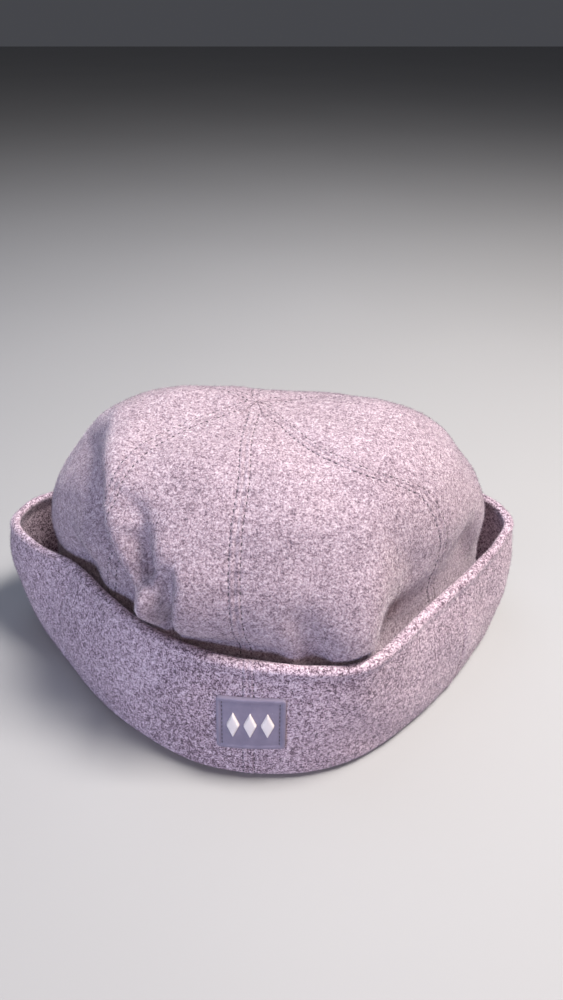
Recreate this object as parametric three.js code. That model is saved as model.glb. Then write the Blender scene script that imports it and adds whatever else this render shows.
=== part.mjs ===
// A soft wool hat: a crown of six gores, a wide cuff of six panels turned up round it, and a small badge.
// Millimetres, +Z up, the front towards -Y. An azimuth is in degrees, 0 at the front, growing towards +X.
// A reach is the distance from the hat's middle line, and heights are from the surface that it rests on.
import * as THREE from 'three';

// Walls and gaps
const CROWN_WALL = 2.2;
const CUFF_WALL = 3.0;
const SEAM_GAP = 0.3;
const RIM_CLEARANCE = 1.2;

// How fast the crown may lean out over the cuff's rim, for each millimetre above it
const RIM_LEAN = 0.6;

// The cuff's fold, where the inner leg turns under and up into the outer leg. The turns are degrees below
// level, from the inner side to the outer side. The middle two bound the flat strip that the hat rests on.
const FOLD_RADIUS = 3.0;
const FOLD_CENTRE_HEIGHT = 4.1;
const FOLD_TURNS = [180, 145, 110, 70, 35, 0];
const INNER_LEG_TOP = 9.7;
const CROWN_FOOT = INNER_LEG_TOP + SEAM_GAP;

// The crown's section is a superellipse, and each gore swells a little between its seams
const SECTION_POWER = 2.15;
const GORE_SWELL = 1.2;
const GORE_HALF_WIDTH = 60;
const SHOULDER_HEIGHT = 110;
const SEAM_TOP_SPAN = 23;
const POINT_RADIUS = 0.8;

const PLAN = table(['azimuth', 'foot', 'rim', 'rimHeight', 'belly', 'waist'], [
  [-178, 91, 92, 60, 2, 87],
  [-160, 91.5, 93, 60, 2, 88],
  [-142, 94.5, 97, 60, 2, 92],
  [-124, 102, 106, 60.5, 2, 99],
  [-111, 111.5, 119, 61, 4, 106],
  [-103, 117.5, 129.5, 61.5, 7, 108.5],
  [-95, 119.5, 130, 61.5, 8, 107.5],
  [-87, 116.5, 115.5, 61, 8, 101],
  [-79, 109, 99, 61, 7, 93.5],
  [-70, 102, 90.8, 61, 6, 86.5],
  [-57, 96.5, 85.3, 60.5, 4, 81],
  [-37, 93, 82.5, 60, 2, 78.3],
  [-20, 93.8, 83, 60, 2, 78.5],
  [0, 94.5, 85.5, 60, 2, 81.5],
  [12, 95.2, 90, 60, 2, 85.8],
  [25, 95, 94.3, 60, 1, 90],
  [40, 94, 90.4, 60, 3, 86.4],
  [54, 95.5, 90.3, 60.5, 4, 86.3],
  [67, 100.5, 95.5, 61, 4, 90.5],
  [78, 107.5, 103.5, 61, 4, 96],
  [88, 116.5, 115, 61, 5, 103],
  [97, 119, 125, 61.5, 5, 108],
  [108, 114, 119.5, 61.5, 4, 106.5],
  [122, 104, 107, 61, 3, 99],
  [140, 95.5, 98, 60, 2, 92],
  [162, 91.5, 93, 60, 2, 88],
]);

// Sections of the crown from its foot to its top
// The share is how far a section follows the plan instead of its own oval.
const CROWN = table(['height', 'middleX', 'middleY', 'side', 'front', 'back', 'share'], [
  [CROWN_FOOT, 0, 0, 110, 86, 84, 1],
  [30, 0, 3, 109, 84, 84, 1],
  [58, 0, 6, 109, 90, 80, 0.95],
  [82, 0, 8, 102, 87, 76, 0.3],
  [98, -0.5, 8, 93.5, 80, 66, 0],
  [111, -1, 7, 84.5, 70, 47, 0],
  [121, -3, 6, 74, 57, 30, 0],
  [127.5, -5, 5, 60, 45, 19, 0],
  [131, -6, 4, 43, 31, 11, 0],
  [132.3, -5, 3.3, 23, 16.5, 6, 0],
  [132.7, -4, 3, 0, 0, 0, 0],
]);
const WAIST_HEIGHT = 58;

// Folds, ridges and dents run from one place to another. They push the cloth out, or in where the push is
// negative. The widths are on the left and the right of the way from the first place to the second, seen
// from outside. Rows with the same name are one fold, and the strongest of them counts at each point.
const FOLDS = table(['name', 'from', 'to', 'pushFrom', 'pushTo', 'widthLeft', 'widthRight'], [
  ['left ridge', [-64, -4, 127], [-61, -38, 116], 2.5, 5, 11, 15],
  ['left ridge', [-61, -38, 116], [-60.5, -50, 105], 5, 4.5, 11, 12],
  ['left ridge', [-60.5, -50, 105], [-54, -65, 87], 4.5, 3.5, 11, 11],
  ['left hollow', [-77, -10, 117], [-74, -34, 106], -3, -9, 13, 13],
  ['left hollow', [-74, -34, 106], [-70, -49, 93], -9, -11, 17, 14],
  ['left hollow', [-70, -49, 93], [-62, -60, 76], -11, -11, 18, 13],
  ['left hollow', [-62, -60, 76], [-58, -62, 64], -11, -10, 18, 12],
  ['left undercut', [-88, -18, 92], [-86, -26, 68], -7, -10, 13, 14],
  ['dimple', [-49, -53, 110], [-47.5, -64, 94], -3, -6.5, 10, 9],
  ['second ridge', [-42, -63, 101], [-50, -67.5, 76], 3, 4.5, 8, 12],
  ['second valley', [-39, -70, 90], [-42, -70, 64], -3.5, -7, 9, 8],
  ['third ridge', [-33, -72, 91], [-37, -72, 62], 2, 4, 8, 13],
  ['front dent', [14, -81, 80], [20, -83, 60], -2, -5.5, 7, 8],
  ['right ridge', [42, -74, 86], [40, -79, 60], 1, 3.5, 14, 8],
  ['right valley', [56, -64, 90], [53, -72, 60], -3, -6.5, 10, 26],
  ['right undercut', [64, -54, 84], [96, -22, 78], -6, -4, 12, 14],
  ['right tuck', [60, -60, 64], [100, -22, 64], -4, -5, 12, 14],
  ['top left hump', [-34, 14, 129], [-24, 14, 131], 4, 3, 22, 22],
  ['top dip', [14, 4, 132], [26, 2, 131], -1.5, -1.5, 18, 18],
  ['front dimple', [10, -27, 131], [28, -47, 121], -2, -2, 11, 11],
]);
const FOLD_NAMES = [...new Set(FOLDS.map((fold) => fold.name))];

// Seams by the azimuth of their foot, shoulder and top, with the piece that follows each one round the hat
// The crown's columns crowd towards the piece's first seam where their crowding is over 1, or towards its
// last seam where it is under 1.
const SEAMS = table(['foot', 'shoulder', 'top', 'piece', 'crownColumns', 'crowding', 'cuffColumns'], [
  [-74, -49, -54, 'front_left', 15, 1.2, 9],
  [-4.5, -8, -3, 'front_right', 11, 1, 10],
  [66, 57, 38, 'right', 9, 1, 12],
  [126, 119, 115, 'back_right', 6, 1, 7],
  [180, 178, 175, 'back_left', 6, 1, 7],
  [232, 236, 236, 'left', 18, 0.7, 14],
]);

// The crown's rows between its sections: fine where the folds are
const CROWN_STEPS = [2, 2, 4, 4, 4, 3, 2, 2, 2, 1];

// The badge lies on the cuff's front face, with three raised lozenges in a row
const BADGE = {
  azimuth: -3.9, height: 32.2, width: 29.4, tall: 25.5, slope: 0.085, corner: 1.6, thickness: 1.3,
};
const LOZENGE = { width: 5.4, tall: 12, tip: 0.7, thickness: 1.0, spacing: 7.2, count: 3 };

const FINISHES = {
  crown: { color: 0xa99ba8, roughness: 0.95, metalness: 0 },
  cuff: { color: 0x9f8f9e, roughness: 0.95, metalness: 0 },
  badge: { color: 0x6c7182, roughness: 0.6, metalness: 0 },
  mark: { color: 0xe4dcd8, roughness: 0.55, metalness: 0 },
};

function table(names, rows) {
  return rows.map((row) => Object.fromEntries(names.map((name, i) => [name, row[i]])));
}

function smooth(x) {
  const t = THREE.MathUtils.clamp(x, 0, 1);
  return t * t * (3 - 2 * t);
}

function hermite(a, b, slopeA, slopeB, t) {
  const t2 = t * t;
  const t3 = t2 * t;
  return (2 * t3 - 3 * t2 + 1) * a + (t3 - 2 * t2 + t) * slopeA + (3 * t2 - 2 * t3) * b + (t3 - t2) * slopeB;
}

// A column of the plan at any azimuth, on a smooth closed curve through the rows
function planAt(column, azimuth) {
  const first = PLAN[0].azimuth;
  const a = THREE.MathUtils.euclideanModulo(azimuth - first, 360) + first;
  const count = PLAN.length;
  let i = count - 1;
  while (PLAN[i].azimuth > a) i -= 1;
  const knot = (k) => {
    const turns = Math.floor(k / count);
    const row = PLAN[k - turns * count];
    return { azimuth: row.azimuth + 360 * turns, value: row[column] };
  };
  const [p, q, r, s] = [knot(i - 1), knot(i), knot(i + 1), knot(i + 2)];
  const span = r.azimuth - q.azimuth;
  const slopeQ = ((r.value - p.value) / (r.azimuth - p.azimuth)) * span;
  const slopeR = ((s.value - q.value) / (s.azimuth - q.azimuth)) * span;
  return hermite(q.value, r.value, slopeQ, slopeR, (a - q.azimuth) / span);
}

// A column of the crown's sections at a level, where level 0 is the first section and 1 is the second
function crownAt(column, level) {
  const last = CROWN.length - 1;
  const i = Math.min(Math.floor(level), last - 1);
  const a = CROWN[i][column];
  const b = CROWN[i + 1][column];
  const slopeA = i === 0 ? b - a : (b - CROWN[i - 1][column]) / 2;
  const slopeB = i === last - 1 ? b - a : (CROWN[i + 2][column] - a) / 2;
  return hermite(a, b, slopeA, slopeB, level - i);
}

function around(azimuth) {
  const a = THREE.MathUtils.degToRad(azimuth);
  return { x: Math.sin(a), y: -Math.cos(a) };
}

function azimuthOf(point) {
  return THREE.MathUtils.radToDeg(Math.atan2(point.x, -point.y));
}

// Reach of the cuff's outer face at a height
function cuffReach(azimuth, height) {
  const foot = planAt('foot', azimuth);
  const rim = planAt('rim', azimuth);
  const t = THREE.MathUtils.clamp(height / planAt('rimHeight', azimuth), 0, 1);
  return foot + ((rim - foot) * (smooth(t) + t)) / 2 + planAt('belly', azimuth) * Math.sin(Math.PI * t);
}

// The crown without its folds
function crownBase(azimuth, level) {
  const direction = around(azimuth);
  const height = crownAt('height', level);
  const depth = Math.max(crownAt(direction.y < 0 ? 'front' : 'back', level), 1e-6);
  const side = Math.max(crownAt('side', level), 1e-6);
  const across = Math.abs(direction.x / side) ** SECTION_POWER;
  const along = Math.abs(direction.y / depth) ** SECTION_POWER;
  const oval = (across + along) ** (-1 / SECTION_POWER);
  const foot = planAt('foot', azimuth) - CUFF_WALL / 2 - 2 * FOLD_RADIUS + CROWN_WALL / 2;
  const plan = THREE.MathUtils.lerp(foot, planAt('waist', azimuth), smooth(height / WAIST_HEIGHT));
  const share = crownAt('share', level);
  return new THREE.Vector3(
    direction.x * plan * share + (crownAt('middleX', level) + direction.x * oval) * (1 - share),
    direction.y * plan * share + (crownAt('middleY', level) + direction.y * oval) * (1 - share),
    height,
  );
}

function crownNormal(azimuth, level) {
  const step = 0.02;
  const l = THREE.MathUtils.clamp(level, step, CROWN.length - 1 - 2.5 * step);
  const round = crownBase(azimuth + 0.5, l).sub(crownBase(azimuth - 0.5, l));
  const up = crownBase(azimuth, l + step).sub(crownBase(azimuth, l - step));
  return round.cross(up).normalize();
}

// How far one row of a fold moves the cloth at a point
function foldPush(fold, point, normal) {
  const from = new THREE.Vector3(...fold.from);
  const way = new THREE.Vector3(...fold.to).sub(from);
  const t = THREE.MathUtils.clamp(point.clone().sub(from).dot(way) / way.lengthSq(), 0, 1);
  const off = point.clone().sub(from).addScaledVector(way, -t);
  const distance = off.length();
  const left = way.clone().normalize().cross(normal).dot(off) / Math.max(distance, 1e-6);
  const turn = 0.5 + 0.5 * THREE.MathUtils.clamp(1.4 * left, -1, 1);
  const width = THREE.MathUtils.lerp(fold.widthRight, fold.widthLeft, turn);
  return THREE.MathUtils.lerp(fold.pushFrom, fold.pushTo, t) * Math.exp(-((distance / width) ** 2));
}

// How far all the folds together move the cloth at a point
function allFolds(point, normal) {
  return FOLD_NAMES.reduce((sum, name) => {
    const pushes = FOLDS.filter((fold) => fold.name === name).map((fold) => foldPush(fold, point, normal));
    return sum + pushes.reduce((most, push) => (Math.abs(push) > Math.abs(most) ? push : most));
  }, 0);
}

function seamAzimuth(seam, height) {
  const lower = (seam.shoulder - seam.foot) * smooth(height / SHOULDER_HEIGHT);
  return seam.foot + lower + (seam.top - seam.shoulder) * smooth((height - SHOULDER_HEIGHT) / SEAM_TOP_SPAN);
}

function goreSwell(azimuth, point) {
  const away = SEAMS.map((seam) => {
    const turn = azimuth - seamAzimuth(seam, point.z) + 180;
    return Math.abs(THREE.MathUtils.euclideanModulo(turn, 360) - 180);
  });
  const share = Math.min(...away, GORE_HALF_WIDTH) / GORE_HALF_WIDTH;
  const reach = Math.hypot(point.x, point.y);
  return GORE_SWELL * Math.sin(Math.PI * share) * smooth((point.z - 50) / 30) * smooth(reach / 60);
}

// A point of the crown's cloth, at a depth below its outer face
function crownPoint(azimuth, level, depth) {
  const point = crownBase(azimuth, level);
  const normal = crownNormal(azimuth, level);
  const push = goreSwell(azimuth, point) + allFolds(point, normal);
  point.addScaledVector(normal, push - depth);
  const a = azimuthOf(point);
  const aboveRim = Math.max(0, point.z - planAt('rimHeight', a));
  const most = cuffReach(a, point.z) - CUFF_WALL - RIM_CLEARANCE + RIM_LEAN * aboveRim - depth;
  const fit = Math.min(1, most / Math.hypot(point.x, point.y));
  point.x *= fit;
  point.y *= fit;
  point.z = Math.max(point.z, CROWN_FOOT);
  return point;
}

// A closed wall between two grids of points: the outer face and the inner face, row by row from the foot up,
// with the columns running towards growing azimuth
function wall(outer, inner) {
  const rows = outer.length;
  const columns = outer[0].length;
  const points = [...outer.flat(), ...inner.flat()];
  const index = [];
  const at = (face, j, i) => (face * rows + j) * columns + i;
  const quad = (a, b, c, d) => index.push(a, b, c, a, c, d);
  for (let j = 0; j < rows - 1; j += 1) {
    for (let i = 0; i < columns - 1; i += 1) {
      quad(at(0, j, i), at(0, j, i + 1), at(0, j + 1, i + 1), at(0, j + 1, i));
      quad(at(1, j, i), at(1, j + 1, i), at(1, j + 1, i + 1), at(1, j, i + 1));
    }
    quad(at(0, j, 0), at(0, j + 1, 0), at(1, j + 1, 0), at(1, j, 0));
    const last = columns - 1;
    quad(at(0, j, last), at(1, j, last), at(1, j + 1, last), at(0, j + 1, last));
  }
  for (let i = 0; i < columns - 1; i += 1) {
    const top = rows - 1;
    quad(at(0, 0, i), at(1, 0, i), at(1, 0, i + 1), at(0, 0, i + 1));
    quad(at(0, top, i), at(0, top, i + 1), at(1, top, i + 1), at(1, top, i));
  }
  const geometry = new THREE.BufferGeometry().setFromPoints(points);
  geometry.setIndex(index);
  geometry.computeVertexNormals();
  return geometry;
}

function nextSeam(k) {
  const turns = k + 1 === SEAMS.length ? 360 : 0;
  const seam = SEAMS[(k + 1) % SEAMS.length];
  return { foot: seam.foot + turns, shoulder: seam.shoulder + turns, top: seam.top + turns };
}

// Azimuths across a piece at a reach, half a seam gap inside the seams at each end
function across(from, to, reach, columns, crowding) {
  const inset = THREE.MathUtils.radToDeg(SEAM_GAP / 2 / reach);
  return Array.from({ length: columns + 1 }, (_, i) => {
    return THREE.MathUtils.lerp(from + inset, to - inset, (i / columns) ** crowding);
  });
}

function crownLevels() {
  const levels = [];
  CROWN_STEPS.forEach((steps, section) => {
    for (let i = 0; i < steps; i += 1) levels.push(section + i / steps);
  });
  const last = CROWN.length - 1;
  const side = CROWN[last - 1].side;
  levels.push(last - POINT_RADIUS / side);
  return levels;
}

function crownGore(k) {
  const from = SEAMS[k];
  const to = nextSeam(k);
  const face = (depth) => crownLevels().map((level) => {
    const height = crownAt('height', level);
    const start = seamAzimuth(from, height);
    const middle = crownBase(start, level);
    const reach = Math.hypot(middle.x - crownAt('middleX', level), middle.y - crownAt('middleY', level));
    return across(start, seamAzimuth(to, height), reach, from.crownColumns, from.crowding)
      .map((azimuth) => crownPoint(azimuth, level, depth));
  });
  return wall(face(0), face(CROWN_WALL));
}

// The cuff's section at an azimuth, from the top of its inner leg, round the fold and up to the rim:
// each row has the place on its outer face and on its inner face
function cuffSection(azimuth) {
  const rim = planAt('rimHeight', azimuth);
  const foot = cuffReach(azimuth, FOLD_CENTRE_HEIGHT);
  const middle = foot - CUFF_WALL / 2 - FOLD_RADIUS;
  const near = FOLD_RADIUS - CUFF_WALL / 2;
  const far = FOLD_RADIUS + CUFF_WALL / 2;
  const rows = [{ outer: [middle - far, INNER_LEG_TOP], inner: [middle - near, INNER_LEG_TOP] }];
  for (const turn of FOLD_TURNS) {
    const c = Math.cos(THREE.MathUtils.degToRad(turn));
    const s = Math.sin(THREE.MathUtils.degToRad(turn));
    rows.push({
      outer: [middle + far * c, Math.max(0, FOLD_CENTRE_HEIGHT - far * s)],
      inner: [middle + near * c, FOLD_CENTRE_HEIGHT - near * s],
    });
  }
  const leg = [[12, 1], [22, 1], [32, 1], [42, 1], [52, 1], [rim - 1.5, 1], [rim - 0.5, 0.75], [rim, 0.35]];
  for (const [height, fullness] of leg) {
    const centre = cuffReach(azimuth, height) - CUFF_WALL / 2;
    const half = (CUFF_WALL / 2) * fullness;
    rows.push({ outer: [centre + half, height], inner: [centre - half, height] });
  }
  return rows;
}

function cuffPanel(k) {
  const from = SEAMS[k].foot;
  const to = nextSeam(k).foot;
  const azimuths = across(from, to, planAt('foot', from), SEAMS[k].cuffColumns, 1);
  const sections = azimuths.map((azimuth) => ({ direction: around(azimuth), rows: cuffSection(azimuth) }));
  const face = (side) => sections[0].rows.map((_, j) => sections.map(({ direction, rows }) => {
    const [reach, height] = rows[j][side];
    return new THREE.Vector3(direction.x * reach, direction.y * reach, height);
  }));
  return wall(face('outer'), face('inner'));
}

// A thin plate that follows the cuff's front face. The columns give its half height at a place across it.
function plate(columns, rows, across0, lift, thickness) {
  const face = (offset) => Array.from({ length: rows + 1 }, (_, j) => columns.map(({ place, half }) => {
    const height = BADGE.height + BADGE.slope * (across0 + place) + half * ((2 * j) / rows - 1);
    const reach = cuffReach(BADGE.azimuth, height);
    const azimuth = BADGE.azimuth + THREE.MathUtils.radToDeg((across0 + place) / reach);
    const direction = around(azimuth);
    const r = cuffReach(azimuth, height) + offset;
    return new THREE.Vector3(direction.x * r, direction.y * r, height);
  }));
  return wall(face(lift + thickness), face(lift));
}

function badgePlate() {
  const { width, tall, corner } = BADGE;
  const columns = [];
  for (const side of [-1, 1]) {
    for (const turn of [0, 30, 60, 90]) {
      const a = THREE.MathUtils.degToRad(turn);
      columns.push({
        place: side * (width / 2 - corner * (1 - Math.cos(a))),
        half: tall / 2 - corner * (1 - Math.sin(a)),
      });
    }
  }
  for (const place of [-8, -4, 0, 4, 8]) columns.push({ place, half: tall / 2 });
  columns.sort((a, b) => a.place - b.place);
  return plate(columns, 4, 0, SEAM_GAP, BADGE.thickness);
}

function lozenge(across0) {
  const { width, tall, tip, thickness } = LOZENGE;
  const columns = [-1, -0.5, 0, 0.5, 1].map((share) => ({
    place: (share * width) / 2,
    half: THREE.MathUtils.lerp(tall / 2, tip / 2, Math.abs(share)),
  }));
  return plate(columns, 2, across0, 2 * SEAM_GAP + BADGE.thickness, thickness);
}

function piece(name, geometry, finish) {
  const mesh = new THREE.Mesh(geometry, new THREE.MeshStandardMaterial(FINISHES[finish]));
  mesh.name = name;
  return mesh;
}

const hat = new THREE.Group();
SEAMS.forEach((seam, k) => {
  hat.add(piece(`crown_gore_${seam.piece}`, crownGore(k), 'crown'));
  hat.add(piece(`cuff_panel_${seam.piece}`, cuffPanel(k), 'cuff'));
});
hat.add(piece('badge_plate', badgePlate(), 'badge'));
for (let i = 0; i < LOZENGE.count; i += 1) {
  const across0 = (i - (LOZENGE.count - 1) / 2) * LOZENGE.spacing;
  hat.add(piece(`badge_lozenge_${i + 1}`, lozenge(across0), 'mark'));
}

// The origin is on the surface, under the middle of the hat's outline
const box = new THREE.Box3().setFromObject(hat);
hat.position.set(-(box.min.x + box.max.x) / 2, -(box.min.y + box.max.y) / 2, -box.min.z);

export default hat;
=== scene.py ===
"""A soft wool hat with a turned-up cuff: its cloth, seams, stitches, nap and badge, on a pale floor."""
import logging
import math
from dataclasses import dataclass
from enum import Enum
from typing import Callable, Sequence

import bpy
import numpy as np
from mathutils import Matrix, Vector


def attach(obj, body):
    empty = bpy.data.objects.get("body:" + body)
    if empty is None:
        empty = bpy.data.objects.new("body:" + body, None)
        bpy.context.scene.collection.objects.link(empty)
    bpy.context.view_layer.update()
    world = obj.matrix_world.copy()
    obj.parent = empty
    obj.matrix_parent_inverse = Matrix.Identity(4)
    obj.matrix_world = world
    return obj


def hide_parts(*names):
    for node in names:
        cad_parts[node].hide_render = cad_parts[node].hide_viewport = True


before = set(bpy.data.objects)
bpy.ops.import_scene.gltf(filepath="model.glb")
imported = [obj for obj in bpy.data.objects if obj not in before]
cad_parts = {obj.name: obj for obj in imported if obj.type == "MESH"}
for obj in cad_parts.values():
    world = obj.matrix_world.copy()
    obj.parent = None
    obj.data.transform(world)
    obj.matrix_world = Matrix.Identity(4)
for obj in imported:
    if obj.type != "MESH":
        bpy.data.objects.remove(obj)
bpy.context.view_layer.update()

BODY = "root"
MM = 0.001
TAU = 2 * math.pi
SMALL = 1e-6
SHARP_ANGLE = math.radians(62)
FRAME_SHIFT = Vector((3.445, 1.005, 0.0)) * MM

log = logging.getLogger("hat")


# Tables of the hat's form, in millimetres about its own middle line, the same as the solids'


@dataclass(frozen=True)
class PlanRow:
    """The hat's outline at one azimuth. A reach is a distance from the hat's middle line.

    Attributes:
        azimuth: degrees from the front towards +X.
        foot: reach of the cuff's outer face at its foot.
        rim: its reach at the rim.
        rim_height: height of the rim.
        belly: how far the cuff bulges between them.
        waist: reach of the crown just over the rim.
    """

    azimuth: float
    foot: float
    rim: float
    rim_height: float
    belly: float
    waist: float


PLAN: tuple[PlanRow, ...] = (
    PlanRow(-178, 91, 92, 60, 2, 87),
    PlanRow(-160, 91.5, 93, 60, 2, 88),
    PlanRow(-142, 94.5, 97, 60, 2, 92),
    PlanRow(-124, 102, 106, 60.5, 2, 99),
    PlanRow(-111, 111.5, 119, 61, 4, 106),
    PlanRow(-103, 117.5, 129.5, 61.5, 7, 108.5),
    PlanRow(-95, 119.5, 130, 61.5, 8, 107.5),
    PlanRow(-87, 116.5, 115.5, 61, 8, 101),
    PlanRow(-79, 109, 99, 61, 7, 93.5),
    PlanRow(-70, 102, 90.8, 61, 6, 86.5),
    PlanRow(-57, 96.5, 85.3, 60.5, 4, 81),
    PlanRow(-37, 93, 82.5, 60, 2, 78.3),
    PlanRow(-20, 93.8, 83, 60, 2, 78.5),
    PlanRow(0, 94.5, 85.5, 60, 2, 81.5),
    PlanRow(12, 95.2, 90, 60, 2, 85.8),
    PlanRow(25, 95, 94.3, 60, 1, 90),
    PlanRow(40, 94, 90.4, 60, 3, 86.4),
    PlanRow(54, 95.5, 90.3, 60.5, 4, 86.3),
    PlanRow(67, 100.5, 95.5, 61, 4, 90.5),
    PlanRow(78, 107.5, 103.5, 61, 4, 96),
    PlanRow(88, 116.5, 115, 61, 5, 103),
    PlanRow(97, 119, 125, 61.5, 5, 108),
    PlanRow(108, 114, 119.5, 61.5, 4, 106.5),
    PlanRow(122, 104, 107, 61, 3, 99),
    PlanRow(140, 95.5, 98, 60, 2, 92),
    PlanRow(162, 91.5, 93, 60, 2, 88),
)


@dataclass(frozen=True)
class Section:
    """One level section of the crown.

    Attributes:
        height: its height.
        middle_x: place of its oval's middle along X.
        middle_y: place of that middle along Y.
        side: the oval's half width.
        front: its reach from that middle to the front.
        back: its reach to the back.
        share: how far the section follows the plan instead of its own oval.
    """

    height: float
    middle_x: float
    middle_y: float
    side: float
    front: float
    back: float
    share: float


SECTIONS: tuple[Section, ...] = (
    Section(10, 0, 0, 110, 86, 84, 1),
    Section(30, 0, 3, 109, 84, 84, 1),
    Section(58, 0, 6, 109, 90, 80, 0.95),
    Section(82, 0, 8, 102, 87, 76, 0.3),
    Section(98, -0.5, 8, 93.5, 80, 66, 0),
    Section(111, -1, 7, 84.5, 70, 47, 0),
    Section(121, -3, 6, 74, 57, 30, 0),
    Section(127.5, -5, 5, 60, 45, 19, 0),
    Section(131, -6, 4, 43, 31, 11, 0),
    Section(132.3, -5, 3.3, 23, 16.5, 6, 0),
    Section(132.7, -4, 3, 0, 0, 0, 0),
)

Place = tuple[float, float, float]


@dataclass(frozen=True)
class Fold:
    """A fold, ridge or dent that runs from one place to another. A negative push goes in.

    Rows with the same name are one fold, and the strongest of them counts at each point.

    Attributes:
        name: the fold's name.
        start: its first place.
        end: its last place.
        push_start: how far it pushes the cloth out at the start.
        push_end: how far it does at the end.
        left: its width on the left of the way from start to end, seen from outside.
        right: its width on the right.
    """

    name: str
    start: Place
    end: Place
    push_start: float
    push_end: float
    left: float
    right: float


FOLDS: tuple[Fold, ...] = (
    Fold("left ridge", (-64, -4, 127), (-61, -38, 116), 3, 6, 6, 15),
    Fold("left ridge", (-61, -38, 116), (-60.5, -50, 105), 6, 6, 6, 11),
    Fold("left ridge", (-60.5, -50, 105), (-54, -65, 87), 6, 5, 6, 8),
    Fold("left hollow", (-80, -8, 116), (-76, -34, 105), -7, -14, 17, 10),
    Fold("left hollow", (-76, -34, 105), (-71, -49, 93), -14, -17, 20, 9),
    Fold("left hollow", (-71, -49, 93), (-63, -60, 76), -17, -16, 20, 9),
    Fold("left hollow", (-63, -60, 76), (-59, -62, 64), -16, -10, 18, 8),
    Fold("left undercut", (-92, -16, 90), (-88, -28, 66), -5, -8, 12, 14),
    Fold("dimple", (-49, -54, 109), (-47.5, -64, 93), -3, -14, 11, 4.5),
    Fold("second ridge", (-42, -63, 101), (-49, -67.5, 78), 3, 7, 4, 11),
    Fold("second ridge", (-49, -67.5, 78), (-47, -66, 62), 7, 8, 5, 8),
    Fold("second valley", (-38, -71, 90), (-40, -71, 64), -7, -14, 8, 3.5),
    Fold("third ridge", (-33, -72, 91), (-37, -72, 62), 2.5, 5, 4, 14),
    Fold("front tuck", (-32, -72, 60), (2, -80, 60), -7, -5, 9, 9),
    Fold("front dent", (14, -81, 80), (20, -83, 60), -2, -6, 6, 8),
    Fold("right ridge", (42, -74, 86), (40, -79, 60), 1, 4, 14, 7),
    Fold("right valley", (56, -64, 90), (53, -72, 60), -3, -7, 9, 26),
    Fold("right undercut", (64, -54, 84), (96, -22, 78), -7, -5, 12, 13),
    Fold("right tuck", (60, -60, 64), (100, -22, 64), -5, -6, 12, 14),
    Fold("top left hump", (-34, 14, 129), (-24, 14, 131), 4, 3, 22, 22),
    Fold("top dip", (14, 4, 132), (26, 2, 131), -1.5, -1.5, 18, 18),
    Fold("front dimple", (10, -27, 131), (28, -47, 121), -2, -2, 11, 11),
)


@dataclass(frozen=True)
class Seam:
    """A seam between two gores and two panels.

    Attributes:
        foot: azimuth of its foot, in degrees.
        shoulder: azimuth of its shoulder.
        top: azimuth of its top.
        piece: the gore and panel that follow it round the hat.
    """

    foot: float
    shoulder: float
    top: float
    piece: str


SEAMS: tuple[Seam, ...] = (
    Seam(-74, -49, -54, "front_left"),
    Seam(-4.5, -8, -3, "front_right"),
    Seam(66, 57, 38, "right"),
    Seam(126, 119, 115, "back_right"),
    Seam(180, 178, 175, "back_left"),
    Seam(232, 236, 236, "left"),
)
FRONT_SEAM = 1


def smooth(x: np.ndarray) -> np.ndarray:
    """Ease from 0 to 1 over the same range of x."""
    t = np.clip(x, 0, 1)
    return t * t * (3 - 2 * t)


def bell(x: np.ndarray) -> np.ndarray:
    """A round hump of height 1 at 0."""
    return np.exp(-x * x)


def hermite(a: np.ndarray, b: np.ndarray, slope_a: np.ndarray, slope_b: np.ndarray,
            t: np.ndarray) -> np.ndarray:
    """A cubic from a to b with the given slopes at its ends.

    Args:
        a: value where t is 0.
        b: value where t is 1.
        slope_a: slope at a.
        slope_b: slope at b.
        t: place between them.

    Returns:
        The cubic's value at t.
    """
    t2 = t * t
    t3 = t2 * t
    from_a = (2 * t3 - 3 * t2 + 1) * a + (t3 - 2 * t2 + t) * slope_a
    return from_a + (3 * t2 - 2 * t3) * b + (t3 - t2) * slope_b


def around(azimuth: np.ndarray) -> tuple[np.ndarray, np.ndarray]:
    """The level direction at an azimuth in degrees."""
    a = np.radians(azimuth)
    return np.sin(a), -np.cos(a)


def unit(vectors: np.ndarray) -> np.ndarray:
    """Vectors made one long."""
    return vectors / np.maximum(np.linalg.norm(vectors, axis=-1, keepdims=True), 1e-9)


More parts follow.
